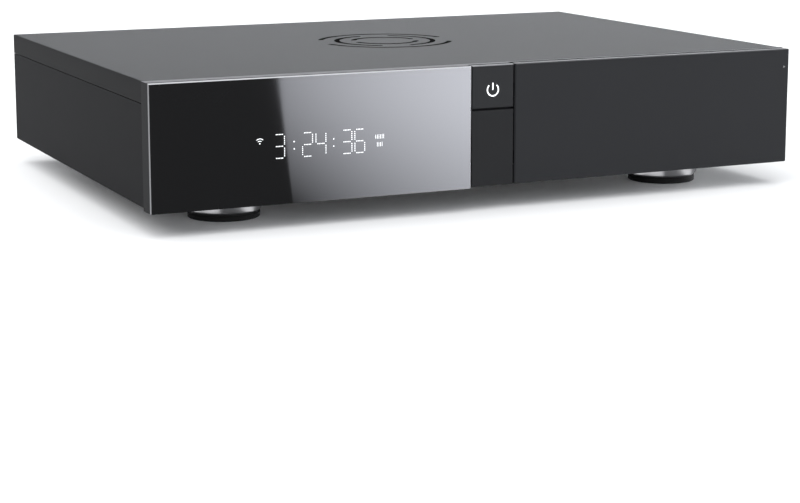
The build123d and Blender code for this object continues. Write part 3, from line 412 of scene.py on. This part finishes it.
def block(mesh, low, high):
    """Adds a box between two corners and gives its vertices."""
    size = Vector([b - a for a, b in zip(low, high)])
    middle = Vector([(a + b) / 2 for a, b in zip(low, high)])
    placed = Matrix.LocRotScale(middle, None, size)
    return bmesh.ops.create_cube(mesh, size=1.0, matrix=placed)["verts"]


def ease(mesh, edges, offset, segments=2):
    """Rounds or chamfers edges."""
    bmesh.ops.bevel(
        mesh, geom=edges, offset=offset, offset_type="OFFSET", segments=segments,
        profile=0.5, affect="EDGES", material=-1,
    )


def piece(name, mesh, body, slot, *materials):
    """Makes a mesh a piece of the player that rides on a body."""
    data = bpy.data.meshes.new(name)
    mesh.to_mesh(data)
    mesh.free()
    for material in materials:
        data.materials.append(material)
    made = bpy.data.objects.new(name, data)
    bpy.context.scene.collection.objects.link(made)
    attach(made, body)
    return made


def in_row(middle, count, pitch):
    """The places of a row of contacts."""
    return [middle + (i - (count - 1) / 2) * pitch for i in range(count)]


shell_back = 1.2 * MM
tongue_half_width = 5.6 * MM
moulding_ease = 0.15 * MM
contact_sink, contact_rise = 0.05 * MM, 0.1 * MM

video_low, video_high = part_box("hdmi_sockets")
video_shell = 15.6 * MM
video_tongue_half, video_tongue_setback = 0.6 * MM, 1.6 * MM
video_contacts, video_contact_pitch = 10, 1.0 * MM
video_contact_half, video_contact_setback = 0.25 * MM, 2.6 * MM
video_back, video_z = video_low.y + shell_back, (video_low.z + video_high.z) / 2
tongues = bmesh.new()
contacts = bmesh.new()
for x in (video_low.x + video_shell / 2, video_high.x - video_shell / 2):
    tongue_top = video_z + video_tongue_half
    block(
        tongues,
        (x - tongue_half_width, video_back, video_z - video_tongue_half),
        (x + tongue_half_width, video_high.y - video_tongue_setback, tongue_top),
    )
    for strip in in_row(x, video_contacts, video_contact_pitch):
        block(
            contacts,
            (strip - video_contact_half, video_back, tongue_top - contact_sink),
            (strip + video_contact_half, video_high.y - video_contact_setback, tongue_top + contact_rise),
        )

port_low, port_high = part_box("usb_sockets")
port_tongue_lift, port_tongue_thick, port_tongue_setback = 4.3 * MM, 1.8 * MM, 1.0 * MM
port_contacts, port_contact_pitch = 4, 2.4 * MM
port_contact_half, port_contact_setback = 0.5 * MM, 2.0 * MM
port_back, port_x = port_low.y + shell_back, (port_low.x + port_high.x) / 2
for port_floor in (port_low.z, (port_low.z + port_high.z) / 2):
    tongue_bottom = port_floor + port_tongue_lift
    tongue_top = tongue_bottom + port_tongue_thick
    block(
        tongues,
        (port_x - tongue_half_width, port_back, tongue_bottom),
        (port_x + tongue_half_width, port_high.y - port_tongue_setback, tongue_top),
    )
    for strip in in_row(port_x, port_contacts, port_contact_pitch):
        block(
            contacts,
            (strip - port_contact_half, port_back, tongue_bottom - contact_rise),
            (strip + port_contact_half, port_high.y - port_contact_setback, tongue_bottom + contact_sink),
        )
ease(tongues, tongues.edges[:], moulding_ease)
piece("socket_tongues", tongues, "case", "black_plastic", black_plastic)

lan_low, lan_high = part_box("lan_socket")
lan_wires, lan_wire_pitch, lan_wire_half = 8, 1.02 * MM, 0.2 * MM
lan_wire_lift, lan_wire_thick, lan_wire_setback = 7.7 * MM, 0.3 * MM, 2.5 * MM
lan_wire_tilt = Matrix.Rotation(radians(-12), 3, "X")
lan_back, lan_x = lan_low.y + shell_back, (lan_low.x + lan_high.x) / 2
lan_wire_bottom = lan_low.z + lan_wire_lift
for wire in in_row(lan_x, lan_wires, lan_wire_pitch):
    verts = block(
        contacts,
        (wire - lan_wire_half, lan_back, lan_wire_bottom),
        (wire + lan_wire_half, lan_high.y - lan_wire_setback, lan_wire_bottom + lan_wire_thick),
    )
    root = (wire, lan_back, lan_wire_bottom)
    bmesh.ops.rotate(contacts, verts=verts, cent=root, matrix=lan_wire_tilt)
piece("socket_contacts", contacts, "case", "blade_brass", blade_brass)


def scaled(colour, share):
    """A colour made darker or paler."""
    return tuple(c * share for c in colour)


lamp_colours = {"link": (0.03, 0.20, 0.04), "speed": (0.30, 0.15, 0.02)}
lamp_size = Vector((2.6 * MM, 3.0 * MM, 1.5 * MM))
lamp_drop, lamp_setback = 3.5 * MM, 0.4 * MM
lamp_offset = 4.6 * MM
lamp_ease = 0.25 * MM
lamp_paler = 1.5
for side, (use, colour) in zip((-lamp_offset, lamp_offset), lamp_colours.items()):
    lamp = bmesh.new()
    lamp_x = lan_x + side + lamp_size.x / 2
    lamp_corner = Vector((lamp_x, lan_high.y - lamp_setback, lan_high.z - lamp_drop))
    block(lamp, lamp_corner - lamp_size, lamp_corner)
    ease(lamp, lamp.edges[:], lamp_ease)
    moulded = finish(f"lan_lamp_{use}", {}, moulded_plastic(colour, scaled(colour, lamp_paler), MM))
    piece(f"lan_lamp_{use}", lamp, "case", "symbol_white", moulded)

optical_low, optical_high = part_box("optical_socket")
optical_x, optical_z = (optical_low.x + optical_high.x) / 2, (optical_low.z + optical_high.z) / 2
flap_half, flap_thick, flap_setback, rib_half = 3.25 * MM, 0.8 * MM, 1.0 * MM, 0.5 * MM
flap_y = optical_high.y - flap_setback
flap = bmesh.new()
block(
    flap,
    (optical_x - flap_half, flap_y - flap_thick, optical_z - flap_half),
    (optical_x + flap_half, flap_y, optical_z + flap_half),
)
block(
    flap,
    (optical_x - flap_half / 2, flap_y - flap_thick / 2, optical_z - rib_half),
    (optical_x + flap_half / 2, flap_y + rib_half, optical_z + rib_half),
)
ease(flap, flap.edges[:], moulding_ease)
piece("optical_flap", flap, "case", "black_plastic", chip_black)

# Jack collars: coloured moulded rings, white for the left channel and red for the right,
# fitted over the ends of the two audio jacks.
jack_low, jack_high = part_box("audio_jacks")
jack_half = 4.5 * MM
jack_places = (jack_low.x + jack_half, jack_high.x - jack_half)
jack_z = (jack_low.z + jack_high.z) / 2
collar_colours = {"white": (0.55, 0.55, 0.53), "red": (0.42, 0.02, 0.02)}
collar_inner, collar_outer, collar_depth = 2.6 * MM, 4.0 * MM, 0.6 * MM
collar_grain = 0.4 * MM
collar_paler = 1.3
collar_steps = 48
collar_front, collar_back = jack_high.y, jack_high.y - collar_depth
for x, (shade, colour) in zip(jack_places, collar_colours.items()):
    collar = bmesh.new()
    section = [
        collar.verts.new((x + radius, y, jack_z))
        for radius, y in (
            (collar_inner, collar_back), (collar_outer, collar_back),
            (collar_outer, collar_front), (collar_inner, collar_front),
        )
    ]
    outline = [collar.edges.new((vert, section[i - 1])) for i, vert in enumerate(section)]
    bmesh.ops.spin(
        collar, geom=section + outline, cent=(x, 0, jack_z), axis=(0, 1, 0),
        angle=2 * pi, steps=collar_steps, use_merge=True,
    )
    bmesh.ops.recalc_face_normals(collar, faces=collar.faces[:])
    coloured = moulded_plastic(colour, scaled(colour, collar_paler), collar_grain)
    moulded = finish(f"collar_{shade}", {}, coloured)
    piece(f"jack_collar_{shade}", collar, "case", "black_plastic", moulded)

# Front frame: a solid aluminium frame, bead-blasted and anodised dark grey, with its top faces
# along the front coloured pale as a painted highlight. The two lugs for the door's hinge are set
# in slots in it.
frame_dark = (0.0088, 0.0088, 0.0096)
frame_light = (0.0128, 0.0128, 0.0138)
frame_top_highlight = (0.11, 0.11, 0.115)
frame_grain = 0.35 * MM
front_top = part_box("front_frame")[1].z
edge_reach = 2 * MM


def lit_top_faces(place):
    """1 on the faces along the top of the front that get a painted highlight, and 0 on the rest."""
    return looking_up(place) * (along(place, 2) > front_top - edge_reach)


def frame_anodising(place):
    blasted = grain(place, frame_grain)
    return {
        "Base Color": tint(lit_top_faces(place), tint(blasted, frame_dark, frame_light), frame_top_highlight),
        "Roughness": part_way(blasted, 0.5, 0.6),
        "Normal": relief(blasted, 0.03 * MM),
    }


frame_anodised = finish("frame_anodised", {"Specular IOR Level": 0.06}, frame_anodising)
dress(frame_anodised, "front_frame", "hinge_lugs")

# Glass front: one black-backed pane with a polished bevel, glued in its bed. The bevel is
# coloured pale as a painted highlight, and darker on the left as painted shade. The display
# behind it is a gloss black module whose lit dots show on the glass.
dot_height = 0.03 * MM
glass_low, glass_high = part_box("glass_panel")
glass_face = glass_low.y + dot_height
bevel_width = 0.6 * MM
bevel_highlight_dark, bevel_highlight_light = (1, 1, 1.04), (1.2, 1.2, 1.24)
bevel_highlight_tone, left_bevel_shaded_tone = 0.42, 0.185
bevel_index, left_bevel_index, side_index = 1, 2, 3
same_place = 1e-6
front_slope, side_slope = 0.9, 0.1

pane = bmesh.new()
block(pane, (glass_low.x, glass_face, glass_low.z), glass_high)
bevelled = [
    e for e in pane.edges
    if all(abs(v.co.y - glass_face) < same_place for v in e.verts)
    and any(v.co.z > glass_low.z + MM for v in e.verts)
]
ease(pane, bevelled, bevel_width, segments=1)
for face in pane.faces:
    if side_slope < -face.normal.y < front_slope:
        on_left = face.normal.x < -side_slope
        face.material_index = left_bevel_index if on_left else bevel_index
    elif abs(face.normal.y) < side_slope:
        face.material_index = side_index


# Painted highlight: the bevel is coloured pale grey; the left bevel's lower tone is painted shade.
def painted_bevel_highlight(tone):
    dark, light = scaled(bevel_highlight_dark, tone), scaled(bevel_highlight_light, tone)
    return grained(dark, light, size=0.5 * MM, rough=(0.15, 0.25))


black_glass = grained(
    dark=(0.002, 0.002, 0.0024), light=(0.003, 0.003, 0.0034), size=60 * MM, rough=(0.035, 0.055)
)
ground_side = grained(
    dark=(0.016, 0.016, 0.017), light=(0.024, 0.024, 0.026),
    size=0.3 * MM, rough=(0.55, 0.75), depth=0.02 * MM,
)
glass = piece(
    "front_glass", pane, "case", "front_glass",
    finish("front_glass", {"Specular IOR Level": 0.10}, black_glass),
    finish("glass_bevel", {}, painted_bevel_highlight(bevel_highlight_tone)),
    finish("glass_bevel_left", {}, painted_bevel_highlight(left_bevel_shaded_tone)),
    finish("glass_side", {"Specular IOR Level": 0.06}, ground_side),
)
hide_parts("glass_panel")

gloss_black = grained(
    dark=(0.003, 0.003, 0.003), light=(0.007, 0.007, 0.007), size=8 * MM, rough=(0.08, 0.16)
)
dress(finish("display_black", {}, gloss_black), "display_module")

# Lit display: five dotted digits with two colons, a wireless mark and two groups of ticks,
# all of them cells of the display module. They are drawn on the glass, where they are seen.
left_end, bottom = glass_low.x, glass_low.z
cell_back = glass_face + dot_height
digit_lefts = [left_end + x * MM for x in (74.1, 91.4, 99.7, 116.0, 124.1)]
digit_bottom = bottom + 26.5 * MM
digit_width, digit_height = 6.7 * MM, 14.2 * MM
bar_inset = 1.2 * MM
colon_places = [left_end + x * MM for x in (86.5, 111.0)]
colon_heights = [bottom + z * MM for z in (31.6, 35.8)]
colon_half = 0.32 * MM
dot_half = 0.25 * MM
dots_in_bar = 5
reading = "32436"
lit_bars = {"2": "abged", "3": "abgcd", "4": "fgbc", "6": "afgedc"}


def dot(mesh, x, z, half=dot_half):
    """Adds a square lit cell."""
    block(mesh, (x - half, glass_low.y, z - half), (x + half, cell_back, z + half))


display = bmesh.new()
for left, figure in zip(digit_lefts, reading):
    near, far = left + dot_half, left + digit_width - dot_half
    low, high = digit_bottom + dot_half, digit_bottom + digit_height - dot_half
    waist = digit_bottom + digit_height / 2
    bars = {
        "a": ((near + bar_inset, high), (far - bar_inset, high)),
        "g": ((near + bar_inset, waist), (far - bar_inset, waist)),
        "d": ((near + bar_inset, low), (far - bar_inset, low)),
        "f": ((near, waist + bar_inset), (near, high - bar_inset)),
        "b": ((far, waist + bar_inset), (far, high - bar_inset)),
        "e": ((near, low + bar_inset), (near, waist - bar_inset)),
        "c": ((far, low + bar_inset), (far, waist - bar_inset)),
    }
    for bar in lit_bars[figure]:
        start, end = [Vector(spot) for spot in bars[bar]]
        for i in range(dots_in_bar):
            dot(display, *start.lerp(end, i / (dots_in_bar - 1)))
for x in colon_places:
    for z in colon_heights:
        dot(display, x, z, colon_half)

mark_x, mark_z = left_end + 65.5 * MM, bottom + 35.9 * MM
mark_radii = (1.5 * MM, 2.8 * MM)
mark_arc_half, mark_dot_half = 0.14 * MM, 0.3 * MM
mark_sweep, mark_steps = radians(90), 16
for radius in mark_radii:
    inner, outer = radius - mark_arc_half, radius + mark_arc_half
    section = [
        display.verts.new((mark_x + r, y, mark_z))
        for r, y in (
            (inner, cell_back), (outer, cell_back), (outer, glass_low.y), (inner, glass_low.y)
        )
    ]
    arc_end = display.faces.new(section)
    middle = (mark_x, 0, mark_z)
    first_turn = Matrix.Rotation(-mark_sweep / 2, 3, "Y")
    bmesh.ops.rotate(display, verts=section, cent=middle, matrix=first_turn)
    bmesh.ops.spin(
        display, geom=[arc_end, *arc_end.edges, *section], cent=middle, axis=(0, -1, 0),
        angle=mark_sweep, steps=mark_steps,
    )
dot(display, mark_x, mark_z, mark_dot_half)

tick_groups = ((137.5 * MM, 34.1 * MM, 6), (138.5 * MM, 29.5 * MM, 4))
tick_pitch, tick_width, tick_height = 1.02 * MM, 0.2 * MM, 2.5 * MM
for start_x, low_z, ticks in tick_groups:
    for i in range(ticks):
        x, z = left_end + start_x + i * tick_pitch, bottom + low_z
        block(display, (x, glass_low.y, z), (x + tick_width, cell_back, z + tick_height))
bmesh.ops.recalc_face_normals(display, faces=display.faces[:])

cell_dim = (0.82, 0.86, 0.90)
cell_bright = (0.95, 0.98, 1.0)


def lit_cell(place):
    return {"Emission Color": tint(grain(place, 2 * MM), cell_dim, cell_bright)}


lit_cells = finish("lit_cells", {"Emission Strength": 1.5, "Roughness": 0.3}, lit_cell)
piece("display_figures", display, "case", "symbol_white", lit_cells)

# Button column: a blank plate and a sprung button above it, both of satin anodised
# aluminium; the plate is coloured darker than the button as painted shade. The power symbol is
# clear plastic moulded through the button and lit from behind.
satin_dark = (0.0095, 0.0100, 0.0118)
satin_light = (0.0130, 0.0137, 0.0160)
satin_grain, satin_cloud = 0.3 * MM, 40 * MM
satin_grain_share = 0.6
column_shaded_share = 0.52
button_lit_share = 0.72
# Painted highlight: the top faces of the column and the button are coloured pale.
column_top_highlight = (0.20, 0.20, 0.21)


def satin_anodising(shade, highlight_colour):
    dark, light = scaled(satin_dark, shade), scaled(satin_light, shade)

    def varying(place):
        blasted = grain(place, satin_grain)
        cloud = grain(place, satin_cloud)
        mottle = blasted * satin_grain_share + cloud * (1 - satin_grain_share)
        return {
            "Base Color": tint(lit_top_faces(place), tint(mottle, dark, light), highlight_colour),
            "Roughness": part_way(blasted, 0.44, 0.56),
            "Normal": relief(blasted, 0.02 * MM),
        }

    return varying


column_satin = satin_anodising(column_shaded_share, column_top_highlight)
button_satin = satin_anodising(button_lit_share, column_top_highlight)
dress(finish("column_anodised", {"Specular IOR Level": 0.21}, column_satin), "column_panel")
dress(finish("button_anodised", {"Specular IOR Level": 0.25}, button_satin), "power_button")

symbol_dark, symbol_light = (0.75, 0.76, 0.78), (0.9, 0.9, 0.92)
symbol_dim, symbol_bright = (0.78, 0.8, 0.82), (0.95, 0.96, 0.98)


def lit_plastic(place):
    haze = grain(place, 2 * MM)
    return {
        "Base Color": tint(haze, symbol_dark, symbol_light),
        "Emission Color": tint(haze, symbol_dim, symbol_bright),
    }


symbol_white = finish("symbol_white", {"Emission Strength": 0.9, "Roughness": 0.35}, lit_plastic)
dress(symbol_white, "power_symbol")

# Door: a solid aluminium plate, anodised as the column is, on two ground steel pins. Two
# nickel-plated magnets hold it shut, and a small inked triangle marks the edge to pull.
# The door has the same anodising, coloured paler than the column's: painted light.
door_lit_share = 0.87
# Painted highlight: the door's top face is coloured pale.
door_top_highlight = (0.05, 0.05, 0.053)
door_satin = satin_anodising(door_lit_share, door_top_highlight)
dress(finish("door_anodised", {"Specular IOR Level": 0.21}, door_satin), "door")

ground_steel = grained(
    dark=(0.03, 0.03, 0.032), light=(0.06, 0.06, 0.062),
    size=0.15 * MM, stretch=(1, 1, 12), rough=(0.36, 0.52), depth=0.005 * MM,
)
dress(finish("pin_steel", {"Metallic": 1.0}, ground_steel), "door_hinge_pins")

nickel_plate = grained(
    dark=(0.58, 0.56, 0.52), light=(0.72, 0.70, 0.66), size=3 * MM, rough=(0.12, 0.24)
)
dress(finish("magnet_nickel", {"Metallic": 1.0}, nickel_plate), "door_magnets")

door_low, door_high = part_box("door")
pointer_from_end, pointer_from_top = 3.6 * MM, 11.4 * MM
pointer_half, ink_height = 0.8 * MM, 0.03 * MM
pointer_x, pointer_z = door_high.x - pointer_from_end, door_high.z - pointer_from_top
pointer_back = door_low.y + ink_height
triangle = ((-pointer_half, -pointer_half), (pointer_half, 0), (-pointer_half, pointer_half))
pointer = bmesh.new()
inked = [pointer.verts.new((pointer_x + x, pointer_back, pointer_z + z)) for x, z in triangle]
raised = bmesh.ops.extrude_face_region(pointer, geom=[pointer.faces.new(inked)])["geom"]
bmesh.ops.translate(
    pointer,
    verts=[v for v in raised if isinstance(v, bmesh.types.BMVert)],
    vec=(0, -2 * ink_height, 0),
)
bmesh.ops.recalc_face_normals(pointer, faces=pointer.faces[:])
printed_ink = grained(
    dark=(0.16, 0.16, 0.165), light=(0.22, 0.22, 0.225), size=0.2 * MM, rough=(0.5, 0.7)
)
piece("door_pointer", pointer, "door", "symbol_white", finish("printed_ink", {}, printed_ink))

# Drive trays: moulded black sleds with a face plate and a satin aluminium handle. A small
# lens in each face shows the drive's lamp.
dress(black_plastic, "lower_tray", "lower_tray_face", "upper_tray", "upper_tray_face")

satin_handle = grained(
    dark=(0.40, 0.40, 0.41), light=(0.56, 0.56, 0.57),
    size=0.12 * MM, stretch=(60, 1, 1), rough=(0.26, 0.44), depth=0.006 * MM,
)
handle_metal = finish("handle_metal", {"Metallic": 1.0}, satin_handle)
dress(handle_metal, "lower_tray_handle", "upper_tray_handle")

lamp_lens = grained(
    dark=(0.05, 0.22, 0.30), light=(0.10, 0.32, 0.42), size=0.4 * MM, rough=(0.15, 0.30)
)
lens_plastic = finish("lamp_lens", {}, lamp_lens)
lens_from_end = 8 * MM
lens_half_width, lens_half_height = 0.8 * MM, 2.2 * MM
lens_proud, lens_sunk, lens_ease = 0.4 * MM, 0.5 * MM, 0.3 * MM
for level in ("lower", "upper"):
    face_low, face_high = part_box(f"{level}_tray_face")
    lens_x, lens_z = face_high.x - lens_from_end, (face_low.z + face_high.z) / 2
    lens = bmesh.new()
    block(
        lens,
        (lens_x - lens_half_width, face_low.y - lens_proud, lens_z - lens_half_height),
        (lens_x + lens_half_width, face_low.y + lens_sunk, lens_z + lens_half_height),
    )
    ease(lens, lens.edges[:], lens_ease, segments=3)
    piece(f"{level}_tray_lens", lens, f"{level}_drive_tray", "symbol_white", lens_plastic)

# Studio: a pale floor without an edge under a broad soft light and a pale sky. A bright card
# on the floor before the glass shows only in the glass, and small lights on the floor beside
# the feet shine only on their cups.
floor_reach = 12.0
floor_pale = (0.93, 0.93, 0.93)
floor_paler = 1.02
floor_cloud = 2.0
floor_glow = 0.018

ground = bmesh.new()
bmesh.ops.create_grid(ground, x_segments=1, y_segments=1, size=floor_reach)
floor_data = bpy.data.meshes.new("floor")
ground.to_mesh(floor_data)
ground.free()
floor_constants = {
    "Specular IOR Level": 0.1,
    "Emission Color": (1, 1, 1, 1),
    "Emission Strength": floor_glow,
}
floor_paint = grained(floor_pale, scaled(floor_pale, floor_paler), floor_cloud, rough=(0.8, 0.9))
floor_data.materials.append(finish("floor", floor_constants, floor_paint))
floor = bpy.data.objects.new("floor", floor_data)
bpy.context.scene.collection.objects.link(floor)

card_height = 2 * MM
card_near, card_far = -0.170, -0.900
card_left = (-0.1047, -0.2134, 0.3762)
card_right = (0.0802, -0.2134, 0.5123)
card_width, card_spread = 0.16, 0.1
card_colour = (0.90, 0.92, 1.0)
card_glow = 60.3
card_peak = 1.5
across_rise, across_bend, across_fade = 1.345, 0.417, 0.216
away_rise, away_bend = 1.264, 0.673
card_loss = 0.033


def side_at(side, y):
    """Where a side of the card lies along X, at a place along Y."""
    start_x, start_y, slope = side
    return start_x + slope * (start_y - y)


card_mesh = bmesh.new()
rim = [
    card_mesh.verts.new((side_at(side, y), y, card_height))
    for y, sides in ((card_near, (card_left, card_right)), (card_far, (card_right, card_left)))
    for side in sides
]
card_mesh.faces.new(rim)
card_data = bpy.data.meshes.new("glass_card")
card_mesh.to_mesh(card_data)
card_mesh.free()
card_finish = bpy.data.materials.new("glass_card")
card_finish.use_nodes = True
card_tree = card_finish.node_tree
card_tree.nodes.clear()
card_place = Signal(card_tree, card_tree.nodes.new("ShaderNodeTexCoord").outputs["Object"])
card_x, card_y = along(card_place, 0), along(card_place, 1)
away = (card_near - card_y) / (card_near - card_far)
across = (card_x - side_at(card_left, card_y)) / (card_width + card_spread * away)
rise_across = across * (across_rise - across_bend * across - across_fade * away)
rise_away = away * (away_rise - away_bend * away)
card_share = (rise_across + rise_away - card_loss) / card_peak
lit = card_place.node(
    "ShaderNodeEmission",
    {},
    {"Color": tint(card_share, (0, 0, 0), card_colour), "Strength": card_glow * card_peak},
)
clear = card_place.node("ShaderNodeBsdfTransparent", {}, {})
lit_and_clear = card_place.node("ShaderNodeAddShader", {}, {0: lit, 1: clear})
card_surface = card_tree.nodes.new("ShaderNodeOutputMaterial").inputs["Surface"]
card_tree.links.new(lit_and_clear.socket, card_surface)
card_data.materials.append(card_finish)
card = bpy.data.objects.new("glass_card", card_data)
bpy.context.scene.collection.objects.link(card)
card.visible_camera = False
card.visible_diffuse = False
card.visible_shadow = False
reflecting = bpy.data.collections.new("card_reflects_in")
reflecting.objects.link(glass)
card.light_linking.receiver_collection = reflecting

glint_turns = (radians(76), radians(50), radians(-29))
glint_reach = 39 * MM
glint_size = 26 * MM
glint_height = 1.5 * MM
glint_power = 0.0034
shone_on = bpy.data.collections.new("glints_shine_on")
for corner in corners:
    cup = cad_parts[f"foot_cup_{corner}"]
    shone_on.objects.link(cup)
    low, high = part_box(cup.name)
    for turn in glint_turns:
        glint = bpy.data.lights.new("glint", "AREA")
        glint.size = glint_size
        glint.energy = glint_power
        held = bpy.data.objects.new("glint", glint)
        held.location = (low + high) / 2 - glint_reach * Vector((sin(turn), cos(turn), 0))
        held.location.z = glint_height
        held.rotation_euler = (pi, 0, turn)
        held.visible_camera = False
        held.light_linking.receiver_collection = shone_on
        bpy.context.scene.collection.objects.link(held)

sun_strength = 2.5
sun_spread = radians(90)
sun_tilt = (radians(3), radians(-20), 0)
softbox = bpy.data.lights.new("softbox", "SUN")
softbox.energy = sun_strength
softbox.angle = sun_spread
overhead = bpy.data.objects.new("softbox", softbox)
overhead.rotation_euler = sun_tilt
bpy.context.scene.collection.objects.link(overhead)

sky_colour = (0.94, 0.965, 1.0, 1.0)
sky_dim = 0.46
sky_bright = 8.6
sky_front = 1.65
bright_heading = (0.87, 0.5)
bright_band = (0.05, 0.35)
front_step = (0.3, 0.95)
world = bpy.data.worlds.new("studio")
world.use_nodes = True
sky = world.node_tree.nodes["Background"]
sky.inputs["Color"].default_value = sky_colour
heading = Signal(world.node_tree, world.node_tree.nodes.new("ShaderNodeTexCoord").outputs["Generated"])
rightward, backward, upward = [along(heading, axis) for axis in range(3)]
towards = rightward * bright_heading[0] + backward * bright_heading[1]
bright_part = ramp(towards, 0.0, 1.0) * (1 - ramp(upward, *bright_band))
front_part = ramp(0 - backward, *front_step)
sky_glow = sky_dim + (sky_bright - sky_dim) * bright_part + (sky_front - sky_dim) * front_part
world.node_tree.links.new(sky_glow.socket, sky.inputs["Strength"])
bpy.context.scene.world = world
bpy.context.scene.view_settings.view_transform = "Standard"

# Camera: left of the middle, above the lid and dipped a little, at the distance and the focal
# length that a fit to the corners of the case gives.
camera_place = (-0.54364, -1.18958, 0.22296)
camera_turn = 0.43437
camera_dip = 0.17257
focal_length = 88.901
sensor_width = 36.0
frame_shift = -0.09
view_reach = 100.0
optics = bpy.data.cameras.new("camera")
optics.lens = focal_length
optics.sensor_width = sensor_width
optics.shift_y = frame_shift
optics.clip_end = view_reach
camera = bpy.data.objects.new("camera", optics)
camera.location = camera_place
camera.rotation_euler = (pi / 2 - camera_dip, 0, -camera_turn)
bpy.context.scene.collection.objects.link(camera)
bpy.context.scene.camera = camera
